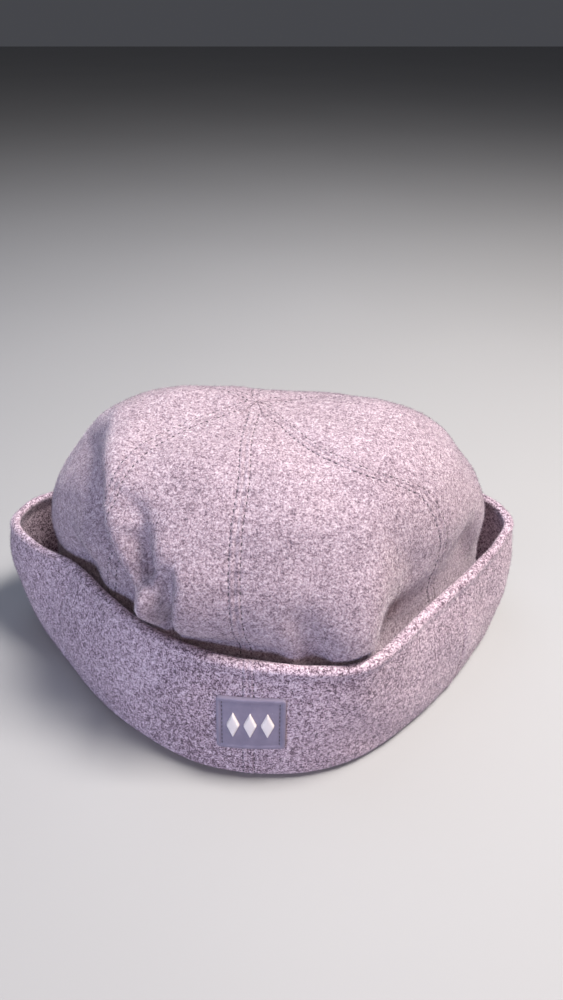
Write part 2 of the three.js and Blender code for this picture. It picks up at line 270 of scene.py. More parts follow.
@dataclass(frozen=True)
class HatForm:
    """The shape of the hat's cloth, in millimetres about its own middle line.

    Attributes:
        crown_wall: thickness of the crown's cloth.
        cuff_wall: thickness of the cuff's cloth.
        fold_radius: radius of the middle of the cuff's bottom fold.
        fold_centre: height of that fold's centre.
        inner_leg_top: height to which the cuff's inner leg goes.
        crown_foot: height at which the crown's cloth starts.
        rim_clearance: least gap between the cuff's rim and the crown inside it.
        rim_lean: how far the crown may lean out over the rim, for each millimetre above it.
        section_power: power of the crown's oval sections, over 2 where they are squarer than an ellipse.
        swell: how far a gore swells between its seams.
        gore_half_width: degrees from a seam to the fullest part of a gore.
        shoulder_height: height of the seams' shoulders.
        seam_top_span: height over which the seams go from their shoulders to their tops.
        waist_height: height at which the crown has left the cuff's outline for its waist.
        swell_start: height at which the gores start to swell.
        swell_rise: height over which that swell grows.
        swell_reach: reach within which the swell fades towards the top's middle.
        side_turn: how fast a fold changes from its left width to its right.
    """

    crown_wall: float = 2.2
    cuff_wall: float = 3.0
    fold_radius: float = 3.0
    fold_centre: float = 4.1
    inner_leg_top: float = 9.7
    crown_foot: float = 10.0
    rim_clearance: float = 2.2
    rim_lean: float = 0.8
    section_power: float = 2.15
    swell: float = 1.2
    gore_half_width: float = 60.0
    shoulder_height: float = 110.0
    seam_top_span: float = 23.0
    waist_height: float = 58.0
    swell_start: float = 50.0
    swell_rise: float = 30.0
    swell_reach: float = 60.0
    side_turn: float = 1.4

    def plan(self, column: str, azimuth: np.ndarray) -> np.ndarray:
        """A column of the plan on a smooth closed curve through its rows.

        Args:
            column: name of the plan's column.
            azimuth: degrees from the front.

        Returns:
            The column's value at each azimuth.
        """
        knots = np.array([row.azimuth for row in PLAN])
        values = np.array([getattr(row, column) for row in PLAN])
        knots = np.concatenate([knots[-2:] - 360, knots, knots[:3] + 360])
        values = np.concatenate([values[-2:], values, values[:3]])
        first = PLAN[0].azimuth
        a = (np.asarray(azimuth, float) - first) % 360 + first
        i = np.searchsorted(knots, a, side="right") - 1
        span = knots[i + 1] - knots[i]
        slope_a = (values[i + 1] - values[i - 1]) / (knots[i + 1] - knots[i - 1]) * span
        slope_b = (values[i + 2] - values[i]) / (knots[i + 2] - knots[i]) * span
        return hermite(values[i], values[i + 1], slope_a, slope_b, (a - knots[i]) / span)

    def section(self, column: str, level: np.ndarray) -> np.ndarray:
        """A column of the crown's sections at a level, where level 0 is the first section.

        Args:
            column: name of the sections' column.
            level: place between the sections, counted from the foot.

        Returns:
            The column's value at each level.
        """
        values = np.array([getattr(row, column) for row in SECTIONS], float)
        last = len(values) - 1
        level = np.clip(np.asarray(level, float), 0, last)
        i = np.minimum(level.astype(int), last - 1)
        a, b = values[i], values[i + 1]
        slope_a = np.where(i == 0, b - a, (b - values[np.maximum(i - 1, 0)]) / 2)
        slope_b = np.where(i == last - 1, b - a, (values[np.minimum(i + 2, last)] - a) / 2)
        return hermite(a, b, slope_a, slope_b, level - i)

    def cuff_reach(self, azimuth: np.ndarray, height: np.ndarray) -> np.ndarray:
        """Reach of the cuff's outer face.

        Args:
            azimuth: degrees from the front.
            height: height on the face.

        Returns:
            The reach at each azimuth and height.
        """
        foot, rim = self.plan("foot", azimuth), self.plan("rim", azimuth)
        t = np.clip(height / self.plan("rim_height", azimuth), 0, 1)
        return foot + (rim - foot) * (smooth(t) + t) / 2 + self.plan("belly", azimuth) * np.sin(math.pi * t)

    def crown_base(self, azimuth: np.ndarray, level: np.ndarray) -> np.ndarray:
        """Points of the crown without its folds.

        Args:
            azimuth: degrees from the front.
            level: place between the sections.

        Returns:
            A point for each azimuth and level.
        """
        x, y = around(azimuth)
        height = self.section("height", level)
        depth = np.where(y < 0, self.section("front", level), self.section("back", level))
        side = np.maximum(self.section("side", level), SMALL)
        power = self.section_power
        across = np.abs(x / side) ** power + np.abs(y / np.maximum(depth, SMALL)) ** power
        oval = across ** (-1 / power)
        foot = self.plan("foot", azimuth) - self.cuff_wall / 2 - 2 * self.fold_radius + self.crown_wall / 2
        blend = smooth(height / self.waist_height)
        plan = foot + (self.plan("waist", azimuth) - foot) * blend
        share = self.section("share", level)
        px = x * plan * share + (self.section("middle_x", level) + x * oval) * (1 - share)
        py = y * plan * share + (self.section("middle_y", level) + y * oval) * (1 - share)
        return np.stack([px, py, height], -1)

    def crown_normal(self, azimuth: np.ndarray, level: np.ndarray) -> np.ndarray:
        """Outward directions of the crown without its folds, from small steps round and up.

        Args:
            azimuth: degrees from the front.
            level: place between the sections.

        Returns:
            A direction for each azimuth and level.
        """
        turn, step = 0.5, 0.02
        level = np.clip(level, step, len(SECTIONS) - 1 - 2.5 * step)
        round_way = self.crown_base(azimuth + turn, level) - self.crown_base(azimuth - turn, level)
        up_way = self.crown_base(azimuth, level + step) - self.crown_base(azimuth, level - step)
        return unit(np.cross(round_way, up_way))

    def fold_push(self, fold: Fold, points: np.ndarray, normals: np.ndarray) -> np.ndarray:
        """How far a fold moves the cloth at points.

        Args:
            fold: the fold.
            points: points of the crown without folds.
            normals: its outward directions there.

        Returns:
            The push along the normal, in millimetres.
        """
        start, way = np.array(fold.start, float), np.subtract(fold.end, fold.start).astype(float)
        t = np.clip((points - start) @ way / (way @ way), 0, 1)
        off = points - start - t[..., None] * way
        distance = np.linalg.norm(off, axis=-1)
        side = np.cross(np.broadcast_to(way / np.linalg.norm(way), points.shape), normals)
        left = (side * off).sum(-1) / np.maximum(distance, SMALL)
        turn = 0.5 + 0.5 * np.clip(self.side_turn * left, -1, 1)
        width = fold.right + (fold.left - fold.right) * turn
        return (fold.push_start + (fold.push_end - fold.push_start) * t) * bell(distance / width)

    def seam_azimuth(self, seam: Seam, height: np.ndarray) -> np.ndarray:
        """Azimuth of a crown seam.

        Args:
            seam: the seam.
            height: heights on it.

        Returns:
            The azimuth at each height.
        """
        lower = (seam.shoulder - seam.foot) * smooth(height / self.shoulder_height)
        upper = (seam.top - seam.shoulder) * smooth((height - self.shoulder_height) / self.seam_top_span)
        return seam.foot + lower + upper

    def gore_swell(self, azimuth: np.ndarray, points: np.ndarray) -> np.ndarray:
        """How far a gore swells between its seams.

        Args:
            azimuth: degrees from the front.
            points: points of the crown without folds.

        Returns:
            The push along the normal, in millimetres.
        """
        away = [
            np.abs((azimuth - self.seam_azimuth(seam, points[..., 2]) + 180) % 360 - 180)
            for seam in SEAMS
        ]
        share = np.minimum(np.min(away, axis=0), self.gore_half_width) / self.gore_half_width
        reach = np.hypot(points[..., 0], points[..., 1])
        height = points[..., 2]
        full = self.swell * np.sin(math.pi * share) * smooth((height - self.swell_start) / self.swell_rise)
        return full * smooth(reach / self.swell_reach)

    def crown(self, azimuth: np.ndarray, level: np.ndarray, depth: float = 0.0) -> np.ndarray:
        """Points of the crown's folded cloth.

        Args:
            azimuth: degrees from the front.
            level: place between the sections.
            depth: how far under the outer face.

        Returns:
            Points, one for each azimuth and level.
        """
        points, normals = self.crown_base(azimuth, level), self.crown_normal(azimuth, level)
        push = self.gore_swell(azimuth, points) - depth
        for name in dict.fromkeys(fold.name for fold in FOLDS):
            rows = [fold for fold in FOLDS if fold.name == name]
            pushes = np.array([self.fold_push(fold, points, normals) for fold in rows])
            strongest = np.abs(pushes).argmax(0)[None]
            push = push + np.take_along_axis(pushes, strongest, 0)[0]
        points = points + push[..., None] * normals
        return self.inside_cuff(points, depth)

    def inside_cuff(self, points: np.ndarray, depth: float) -> np.ndarray:
        """Crown points kept within the cuff's rim and above the cuff's inner leg.

        Args:
            points: points of the crown's cloth.
            depth: how far under the outer face they are.

        Returns:
            The points, moved in or up where they have to be.
        """
        points = points.copy()
        azimuth = np.degrees(np.arctan2(points[..., 0], -points[..., 1]))
        above = np.maximum(0, points[..., 2] - self.plan("rim_height", azimuth))
        most = self.cuff_reach(azimuth, points[..., 2]) - self.cuff_wall - self.rim_clearance
        most = most + self.rim_lean * above - depth
        fit = np.minimum(1, most / np.maximum(np.hypot(points[..., 0], points[..., 1]), SMALL))
        points[..., 0] *= fit
        points[..., 1] *= fit
        points[..., 2] = np.maximum(points[..., 2], self.crown_foot)
        return points


FORM = HatForm()


# Cloth: grids of points made into closed walls


@dataclass(frozen=True)
class Ripple:
    """Soft unevenness of hand-worn cloth: a sum of seeded waves through space.

    Attributes:
        seed: seed of the waves' directions.
        longest: longest wave, in millimetres.
        shortest: shortest wave, in millimetres.
        height: size of the whole unevenness, in millimetres.
        count: number of waves.
        fall: power by which shorter waves are lower.
    """

    seed: int
    longest: float
    shortest: float
    height: float
    count: int = 24
    fall: float = 0.8

    def at(self, points: np.ndarray) -> np.ndarray:
        """The ripple's push.

        Args:
            points: points of the cloth.

        Returns:
            The push at each point, in millimetres.
        """
        draw = np.random.default_rng(self.seed)
        lengths = self.longest * (self.shortest / self.longest) ** draw.random(self.count)
        ways = unit(draw.normal(size=(self.count, 3))) * (TAU / lengths)[:, None]
        phases = draw.random(self.count) * TAU
        waves = np.sin(points @ ways.T + phases) * (lengths / self.longest) ** self.fall
        return self.height * waves.sum(-1) / math.sqrt(self.count / 2)


@dataclass(frozen=True)
class SeamDressing:
    """How cloth lies along a sewn seam, in millimetres.

    Attributes:
        groove: depth of the groove between the two pieces.
        groove_width: half width of that groove.
        row: distance of the stitched row from the seam, or 0 for none.
        row_depth: how far the stitches pull the cloth in.
        row_width: half width of that pull.
        pad: how far the seam's allowances lift the cloth up to the row.
        pucker: height of the pucker along the seam.
        pucker_pitch: length of one pucker.
        pad_end: how far past the row the allowances reach.
        pad_fall: width over which the lift ends there.
        pad_rise: width over which the lift grows beside the seam.
        sway: how far the puckers' pitch wanders, in radians.
        sway_length: length over which it wanders by a radian.
        pucker_spread: reach of the puckers beside the seam, in rows.
    """

    groove: float = 0.06
    groove_width: float = 0.5
    row: float = 2.4
    row_depth: float = 0.32
    row_width: float = 0.45
    pad: float = 0.22
    pucker: float = 0.22
    pucker_pitch: float = 7.0
    pad_end: float = 0.8
    pad_fall: float = 1.2
    pad_rise: float = 1.7
    sway: float = 1.7
    sway_length: float = 19.0
    pucker_spread: float = 2.2

    def push(self, distance: np.ndarray, along: np.ndarray) -> np.ndarray:
        """The cloth's push beside a seam.

        Args:
            distance: distance from the seam.
            along: length along it.

        Returns:
            The push at each place, in millimetres.
        """
        groove = -self.groove * bell(distance / self.groove_width)
        if not self.row:
            return groove
        rows = -self.row_depth * bell((distance - self.row) / self.row_width)
        pad = self.pad * smooth((self.row + self.pad_end - distance) / self.pad_fall)
        pad = pad * smooth(distance / self.pad_rise)
        wave = np.sin(TAU * along / self.pucker_pitch + self.sway * np.sin(along / self.sway_length))
        pucker = self.pucker * wave * bell(distance / (self.pucker_spread * self.row))
        return groove + rows + pad + pucker


STITCHED = SeamDressing()
PLAIN_SEAM = SeamDressing(groove=0.5, groove_width=1.2, row=0)

# Distances of the fine columns from a seam. On a row narrower than the room's multiple of their reach, they
# are scaled down.
SEAM_EDGE_STEPS = (0.0, 0.35, 0.8, 1.3, 1.75, 2.1, 2.4, 2.7, 3.1, 3.8, 4.8, 6.0)
SEAM_EDGE_ROOM = 2.4
SEAM_HALF_GAP = 0.01
STITCH_SINK = 0.05

Run = tuple[np.ndarray, np.ndarray]


def columns_across(width: np.ndarray, middle: int) -> np.ndarray:
    """Distances of a piece's columns from its first seam, row by row, fine beside both seams.

    Args:
        width: width of each row, in millimetres.
        middle: number of columns between the fine ones.

    Returns:
        An array of rows by columns.
    """
    edge = np.array(SEAM_EDGE_STEPS)
    scale = np.minimum(1.0, width / (SEAM_EDGE_ROOM * edge[-1]))[:, None]
    near = edge[None, :] * scale
    share = (np.arange(1, middle + 1) / (middle + 1))[None, :]
    inner = near[:, -1:] + (width[:, None] - 2 * near[:, -1:]) * share
    return np.concatenate([near, inner, width[:, None] - near[:, ::-1]], axis=1)


def grid_normals(points: np.ndarray) -> np.ndarray:
    """Outward directions of a grid whose columns run round the hat and whose rows run up.

    Args:
        points: rows by columns of points.

    Returns:
        A direction for each point.
    """
    round_way = np.gradient(points, axis=1)
    up_way = np.gradient(points, axis=0)
    return unit(np.cross(round_way, up_way))


def lengths_along(points: np.ndarray, axis: int) -> np.ndarray:
    """Lengths along a grid's lines.

    Args:
        points: rows by columns of points.
        axis: 0 for the lengths up the columns, 1 for those along the rows.

    Returns:
        The length from the line's first point to each point.
    """
    steps = np.linalg.norm(np.diff(points, axis=axis), axis=-1)
    pad = [(0, 0), (0, 0)]
    pad[axis] = (1, 0)
    return np.pad(np.cumsum(steps, axis=axis), pad)


def sewn_run(points: np.ndarray, normals: np.ndarray, distances: np.ndarray, aims: np.ndarray) -> Run:
    """A run of stitches beside a seam, sunk a little into the cloth.

    Args:
        points: rows by columns of points of the cloth.
        normals: outward directions there.
        distances: distance of each column from the piece's first seam, row by row.
        aims: distance of the run from that seam, for each row.

    Returns:
        The run's points and directions, one for each row.
    """
    places, directions = [], []
    for row, normal, distance, aim in zip(points, normals, distances, aims):
        places.append([np.interp(aim, distance, row[:, axis]) for axis in range(3)])
        directions.append([np.interp(aim, distance, normal[:, axis]) for axis in range(3)])
    return np.array(places) - STITCH_SINK * np.array(directions), np.array(directions)


@dataclass
class ClothGrid:
    """A closed wall of cloth between two grids of points, in millimetres, with its pattern's own map.

    Attributes:
        outer: rows by columns of points on the outer face.
        inner: the same on the inner face.
        brushed_above: height over which the outer face has nap.
        inner_brushed_above: height over which the inner face has nap.
    """

    outer: np.ndarray
    inner: np.ndarray
    brushed_above: float = 2.5
    inner_brushed_above: float = 1000.0

    def faces(self) -> list[tuple[int, int, int, int]]:
        """The wall's four-sided faces, all facing out.

        Returns:
            Four vertex numbers for each face, the outer grid's first.
        """
        rows, columns = self.outer.shape[:2]
        at = np.arange(2 * rows * columns).reshape(2, rows, columns)
        out, back = at[0], at[1]
        parts = [
            (out[:-1, :-1], out[:-1, 1:], out[1:, 1:], out[1:, :-1]),
            (back[:-1, :-1], back[1:, :-1], back[1:, 1:], back[:-1, 1:]),
            (out[:-1, 0], out[1:, 0], back[1:, 0], back[:-1, 0]),
            (out[:-1, -1], back[:-1, -1], back[1:, -1], out[1:, -1]),
            (out[0, :-1], back[0, :-1], back[0, 1:], out[0, 1:]),
            (out[-1, :-1], out[-1, 1:], back[-1, 1:], back[-1, :-1]),
        ]
        quads = [np.stack([corner.ravel() for corner in part], -1) for part in parts]
        return np.concatenate(quads).tolist()

    def object(self, name: str, shift: Vector, finish: bpy.types.Material) -> bpy.types.Object:
        """A mesh object of the wall.

        Args:
            name: the object's name.
            shift: move from the hat's own middle to the frame, in metres.
            finish: the cloth's material.

        Returns:
            The new object, in the scene.
        """
        points = np.concatenate([self.outer.reshape(-1, 3), self.inner.reshape(-1, 3)])
        points = points * MM + np.array(shift)
        mesh = bpy.data.meshes.new(name)
        mesh.from_pydata(points.tolist(), [], self.faces())
        mesh.polygons.foreach_set("use_smooth", np.ones(len(mesh.polygons), bool))
        mesh.set_sharp_from_angle(angle=SHARP_ANGLE)
        across = lengths_along(self.outer, 1)
        across = across - across[:, -1:] / 2
        up = lengths_along(self.outer, 0)
        flat = np.stack([across, up], -1).reshape(-1, 2) * MM
        both = np.concatenate([flat, flat])
        corners = np.zeros(len(mesh.loops), np.int32)
        mesh.loops.foreach_get("vertex_index", corners)
        layer = mesh.uv_layers.new(name="cloth")
        layer.data.foreach_set("uv", both[corners].ravel().astype(np.float32))
        face = mesh.attributes.new(NapTree.BRUSHED, "FLOAT", "POINT")
        masks = (self.outer[..., 2] > self.brushed_above, self.inner[..., 2] > self.inner_brushed_above)
        values = np.concatenate([mask.ravel() for mask in masks])
        face.data.foreach_set("value", values.astype(np.float32))
        mesh.materials.append(finish)
        made = bpy.data.objects.new(name, mesh)
        bpy.context.scene.collection.objects.link(made)
        return made


# Finishes


class Nodes:
    """Short calls that add and join a material's nodes."""

    def __init__(self, name: str) -> None:
        """Make a material with an empty tree.

        Args:
            name: the material's name.
        """
        self.material = bpy.data.materials.new(name)
        self.material.use_nodes = True
        self.tree = self.material.node_tree
        self.tree.nodes.clear()

    def add(self, kind: str, **settings: object) -> bpy.types.Node:
        """Add a node.

        Args:
            kind: the node's type.
            **settings: its properties.

        Returns:
            The node.
        """
        node = self.tree.nodes.new(kind)
        for key, value in settings.items():
            setattr(node, key, value)
        return node

    def join(self, source: bpy.types.NodeSocket, target: bpy.types.NodeSocket) -> None:
        """Join an output to an input."""
        self.tree.links.new(source, target)

    def noise(self, place: bpy.types.NodeSocket, scale: float, detail: float, roughness: float = 0.5,
              distortion: float = 0.0) -> bpy.types.NodeSocket:
        """A noise texture's value.

        Args:
            place: where it is read.
            scale: its scale.
            detail: its number of octaves.
            roughness: how strong the finer octaves are.
            distortion: how far it is warped.

        Returns:
            The value's socket.
        """
        node = self.add("ShaderNodeTexNoise")
        node.inputs["Scale"].default_value = scale
        node.inputs["Detail"].default_value = detail
        node.inputs["Roughness"].default_value = roughness
        node.inputs["Distortion"].default_value = distortion
        self.join(place, node.inputs["Vector"])
        return node.outputs["Fac"]

    def ramp(self, value: bpy.types.NodeSocket,
             stops: Sequence[tuple[float, Sequence[float]]]) -> bpy.types.NodeSocket:
        """A colour that follows a value through stops.

        Args:
            value: the value's socket.
            stops: the value and the colour of each stop.

        Returns:
            The colour's socket.
        """
        node = self.add("ShaderNodeValToRGB")
        elements = node.color_ramp.elements
        while len(elements) < len(stops):
            elements.new(0.5)
        for element, (place, colour) in zip(elements, stops):
            element.position = place
            element.color = (*colour, 1.0)
        self.join(value, node.inputs["Fac"])
        return node.outputs["Color"]

    def feed(self, value: object, socket: bpy.types.NodeSocket) -> None:
        """Join a socket, or set a number or colour.

        Args:
            value: a socket, a number or a colour.
            socket: the input that takes it.
        """
        if isinstance(value, bpy.types.NodeSocket):
            self.join(value, socket)
        elif isinstance(value, (int, float)):
            socket.default_value = value
        else:
            socket.default_value = (*value, 1.0)

    def math(self, operation: str, a: object, b: object = 0.0, c: object = 0.0) -> bpy.types.NodeSocket:
        """A sum, product or the like.

        Args:
            operation: the node's operation.
            a: first socket or number.
            b: second one.
            c: third one.

        Returns:
            The result's socket.
        """
        node = self.add("ShaderNodeMath", operation=operation)
        for value, socket in zip((a, b, c), node.inputs):
            self.feed(value, socket)
        return node.outputs["Value"]

    def bump(self, height: bpy.types.NodeSocket, distance: float, strength: float) -> bpy.types.NodeSocket:
        """A normal raised by a height.

        Args:
            height: the height's socket.
            distance: depth of the whole relief, in metres.
            strength: share of it that counts.

        Returns:
            The normal's socket.
        """
        node = self.add("ShaderNodeBump")
        node.inputs["Distance"].default_value = distance
        node.inputs["Strength"].default_value = strength
        self.join(height, node.inputs["Height"])
        return node.outputs["Normal"]

    def finish(self, colour: object, roughness: object, normal: bpy.types.NodeSocket | None,
               **constants: object) -> bpy.types.Material:
        """Close the tree with a principled shader.

        Args:
            colour: base colour, a socket or a colour.
            roughness: a socket or a number.
            normal: the bumped normal, or None.
            **constants: other inputs of the shader by name, with _ for spaces.

        Returns:
            The material.
        """
        shader = self.add("ShaderNodeBsdfPrincipled")
        self.feed(colour, shader.inputs["Base Color"])
        self.feed(roughness, shader.inputs["Roughness"])
        if normal is not None:
            self.join(normal, shader.inputs["Normal"])
        for key, value in constants.items():
            shader.inputs[key.replace("_", " ")].default_value = value
        output = self.add("ShaderNodeOutputMaterial")
        self.join(shader.outputs["BSDF"], output.inputs["Surface"])
        return self.material


Colour = tuple[float, float, float]


@dataclass(frozen=True)
class HeatherWool:
    """Brushed melton wool of mixed light and dark fibres.

    Attributes:
        name: the material's name.
        dark: colour of the darkest fibres.
        low: colour between the dark and the body.
        body: colour of most of the cloth.
        light: colour of the palest fibres.
        sheen: strength of the fuzz's soft light at grazing angles.
        speck_scale: specks to a metre.
        contrast: how sharply the tones change about their middle.
        middle: middle of the mixed noise.
        clump_share: scale of the clumps of fibres, to that of the specks.
        drift_scale: scale of the slow change of tone.
        fibre_scale: scale of the fine fibres in the bump.
        relief: depth of the bump, in metres.
    """

    name: str
    dark: Colour = (0.100, 0.066, 0.088)
    low: Colour = (0.245, 0.180, 0.210)
    body: Colour = (0.400, 0.312, 0.350)
    light: Colour = (0.640, 0.545, 0.580)
    sheen: float = 0.3
    speck_scale: float = 1250.0
    contrast: float = 1.0
    middle: float = 0.53
    clump_share: float = 0.4
    drift_scale: float = 24.0
    fibre_scale: float = 2100.0
    relief: float = 0.0005

    def make(self) -> bpy.types.Material:
        """Build the cloth's material.

        Returns:
            The material.
        """
        n = Nodes(self.name)
        place = n.add("ShaderNodeTexCoord").outputs["Object"]
        specks = n.noise(place, self.speck_scale, 2.0, 0.6)
        clumps = n.noise(place, self.clump_share * self.speck_scale, 2.0, 0.55)
        drift = n.noise(place, self.drift_scale, 2.0, 0.5)
        tone = n.math("MULTIPLY_ADD", clumps, 0.34, n.math("MULTIPLY", specks, 0.62))
        tone = n.math("MULTIPLY_ADD", drift, 0.10, tone)
        tones = ((-0.17, self.dark), (-0.07, self.low), (0.03, self.body), (0.19, self.light))
        colour = n.ramp(tone, [(self.middle + offset / self.contrast, tint) for offset, tint in tones])
        fibres = n.noise(place, self.fibre_scale, 2.0, 0.6, 0.8)
        fine = n.math("MULTIPLY_ADD", fibres, 0.5, specks)
        normal = n.bump(fine, self.relief, 0.6)
        roughness = n.math("MULTIPLY_ADD", specks, 0.12, 0.86)
        return n.finish(colour, roughness, normal, Sheen_Weight=self.sheen, Sheen_Roughness=0.45,
                        Sheen_Tint=(0.93, 0.86, 0.92, 1.0), Specular_IOR_Level=0.18)


@dataclass(frozen=True)
class WoolNap:
    """The loose fibres that stand out of the brushed cloth, each in its own tone.

    Attributes:
        name: the material's name.
        dark: colour of the darkest fibres.
        body: colour of most of them.
        light: colour of the palest ones.
        drift_scale: scale of the slow change of tone.
    """

    name: str
    dark: Colour = (0.070, 0.050, 0.072)
    body: Colour = (0.320, 0.255, 0.305)
    light: Colour = (0.700, 0.620, 0.650)
    drift_scale: float = 60.0

    def make(self) -> bpy.types.Material:
        """Build the fibres' material.

        Returns:
            The material.
        """
        n = Nodes(self.name)
        tone = n.add("ShaderNodeAttribute", attribute_name=NapTree.TONE).outputs["Fac"]
        place = n.add("ShaderNodeTexCoord").outputs["Object"]
        drift = n.noise(place, self.drift_scale, 2.0)
        mixed = n.math("MULTIPLY_ADD", drift, 0.3, n.math("MULTIPLY", tone, 0.85))
        colour = n.ramp(mixed, ((0.18, self.dark), (0.42, self.body), (0.78, self.body), (0.98, self.light)))
        return n.finish(colour, 0.8, None, Sheen_Weight=0.3, Specular_IOR_Level=0.2)


@dataclass(frozen=True)
class ThreadPaintedHoleShade:
    """Twisted sewing thread, coloured near black: painted shade of the needle holes and dimples that the
    stitches sink into, put into the thread's own colour.

    Attributes:
        name: the material's name.
        dark: colour between its twists, darkened as painted shade of the needle holes.
        light: colour on them, also darkened as that painted shade.
        twist_scale: scale of the twists.
        relief: depth of the twists, in metres.
    """

    name: str = "sewing_thread_painted_hole_shade"
    # Both tones are far darker than the wool: painted shade of the needle holes, carried by the thread's
    # colour.
    dark: Colour = (0.030, 0.022, 0.032)
    light: Colour = (0.110, 0.084, 0.102)
    twist_scale: float = 2600.0
    relief: float = 0.0002

    def make(self) -> bpy.types.Material:
        """Build the thread's material.

        Returns:
            The material.
        """
        n = Nodes(self.name)
        place = n.add("ShaderNodeTexCoord").outputs["Object"]
        twist = n.noise(place, self.twist_scale, 2.0, 0.6)
        colour = n.ramp(twist, ((0.35, self.dark), (0.68, self.light)))
        return n.finish(colour, 0.62, n.bump(twist, self.relief, 0.5), Sheen_Weight=0.15)


@dataclass(frozen=True)
class SoftRubber:
    """Moulded soft rubber with a fine grain and a little dust and wear.

    Attributes:
        name: the material's name.
        colour: the rubber's own colour.
        worn: its colour where it is dusty or rubbed.
        grain: strength of the grain's bump.
        roughness: its middle roughness.
        grain_scale: scale of the grain.
        wear_scale: scale of the worn patches.
        relief: depth of the grain, in metres.
    """

    name: str
    colour: Colour
    worn: Colour
    grain: float = 0.35
    roughness: float = 0.52
    grain_scale: float = 3200.0
    wear_scale: float = 170.0
    relief: float = 0.0002

    def make(self) -> bpy.types.Material:
        """Build the rubber's material.

        Returns:
            The material.
        """
        n = Nodes(self.name)
        place = n.add("ShaderNodeTexCoord").outputs["Object"]
        grain = n.noise(place, self.grain_scale, 2.0, 0.6)
        wear = n.noise(place, self.wear_scale, 4.0, 0.6)
        colour = n.ramp(wear, ((0.36, self.colour), (0.72, self.worn)))
        roughness = n.math("MULTIPLY_ADD", grain, 0.22, self.roughness - 0.1)
        return n.finish(colour, roughness, n.bump(grain, self.relief, self.grain), Specular_IOR_Level=0.4)


@dataclass(frozen=True)
class PaleFloor:
    """The plain pale floor.

    Attributes:
        colour: its colour.
        shade: how much darker its dark patches are.
        patch_scale: scale of those patches.
    """

    colour: Colour = (0.36, 0.36, 0.355)
    shade: float = 0.96
    patch_scale: float = 3.0

    def make(self) -> bpy.types.Material:
        """Build the floor's material.

        Returns:
            The material.
        """
        n = Nodes("pale_floor")
        place = n.add("ShaderNodeTexCoord").outputs["Object"]
        patches = n.noise(place, self.patch_scale, 2.0)
        darker = tuple(self.shade * channel for channel in self.colour)
        return n.finish(n.ramp(patches, ((0.3, darker), (0.7, self.colour))), 0.85, None)


# Repeats made by Geometry Nodes: stitches along a run, and the nap's fibres over a face


class Tree:
    """A geometry tree with named inputs, and short calls that add and join its nodes."""

    def __init__(self, name: str, inputs: Sequence[tuple[str, str, float]]) -> None:
        """Make the tree.

        Args:
            name: the tree's name.
            inputs: the name, socket type and default of each input past the geometry.
        """
        self.tree = bpy.data.node_groups.new(name, "GeometryNodeTree")
        face = self.tree.interface
        face.new_socket("Geometry", in_out="INPUT", socket_type="NodeSocketGeometry")
        self.identifiers: dict[str, str] = {}
        for label, kind, default in inputs:
            socket = face.new_socket(label, in_out="INPUT", socket_type=kind)
            if kind != "NodeSocketMaterial":
                socket.default_value = default
            self.identifiers[label] = socket.identifier
        face.new_socket("Geometry", in_out="OUTPUT", socket_type="NodeSocketGeometry")
        self.start = self.tree.nodes.new("NodeGroupInput")
        self.end = self.tree.nodes.new("NodeGroupOutput")

    def add(self, kind: str, **settings: object) -> bpy.types.Node:
        """Add a node.

        Args:
            kind: the node's type.
            **settings: its properties.

        Returns:
            The node.
        """
        node = self.tree.nodes.new(kind)
        for key, value in settings.items():
            setattr(node, key, value)
        return node

    def join(self, source: bpy.types.NodeSocket, target: bpy.types.NodeSocket) -> None:
        """Join an output to an input."""
        self.tree.links.new(source, target)

    def close(self, geometry: bpy.types.NodeSocket) -> None:
        """End the tree in Realize Instances and Set Material.

        Args:
            geometry: the output of the instances.
        """
        realize = self.add("GeometryNodeRealizeInstances")
        self.join(geometry, realize.inputs["Geometry"])
        dress = self.add("GeometryNodeSetMaterial")
        self.join(realize.outputs["Geometry"], dress.inputs["Geometry"])
        self.join(self.start.outputs["Finish"], dress.inputs["Material"])
        self.join(dress.outputs["Geometry"], self.end.inputs["Geometry"])

    def run(self, source: bpy.types.Object, name: str, values: dict[str, object]) -> bpy.types.Object:
        """Run the tree on an object and keep the result as a plain mesh.

        Args:
            source: the object that the tree reads.
            name: name of the new object.
            values: the named inputs' values.

        Returns:
            The new object, in the scene, with no modifier.
        """
        modifier = source.modifiers.new(self.tree.name, "NODES")
        modifier.node_group = self.tree
        for label, value in values.items():
            modifier[self.identifiers[label]] = value
        bpy.context.view_layer.update()
        graph = bpy.context.evaluated_depsgraph_get()
        mesh = bpy.data.meshes.new_from_object(source.evaluated_get(graph), depsgraph=graph)
        source.modifiers.remove(modifier)
        mesh.name = name
        made = bpy.data.objects.new(name, mesh)
        bpy.context.scene.collection.objects.link(made)
        return made


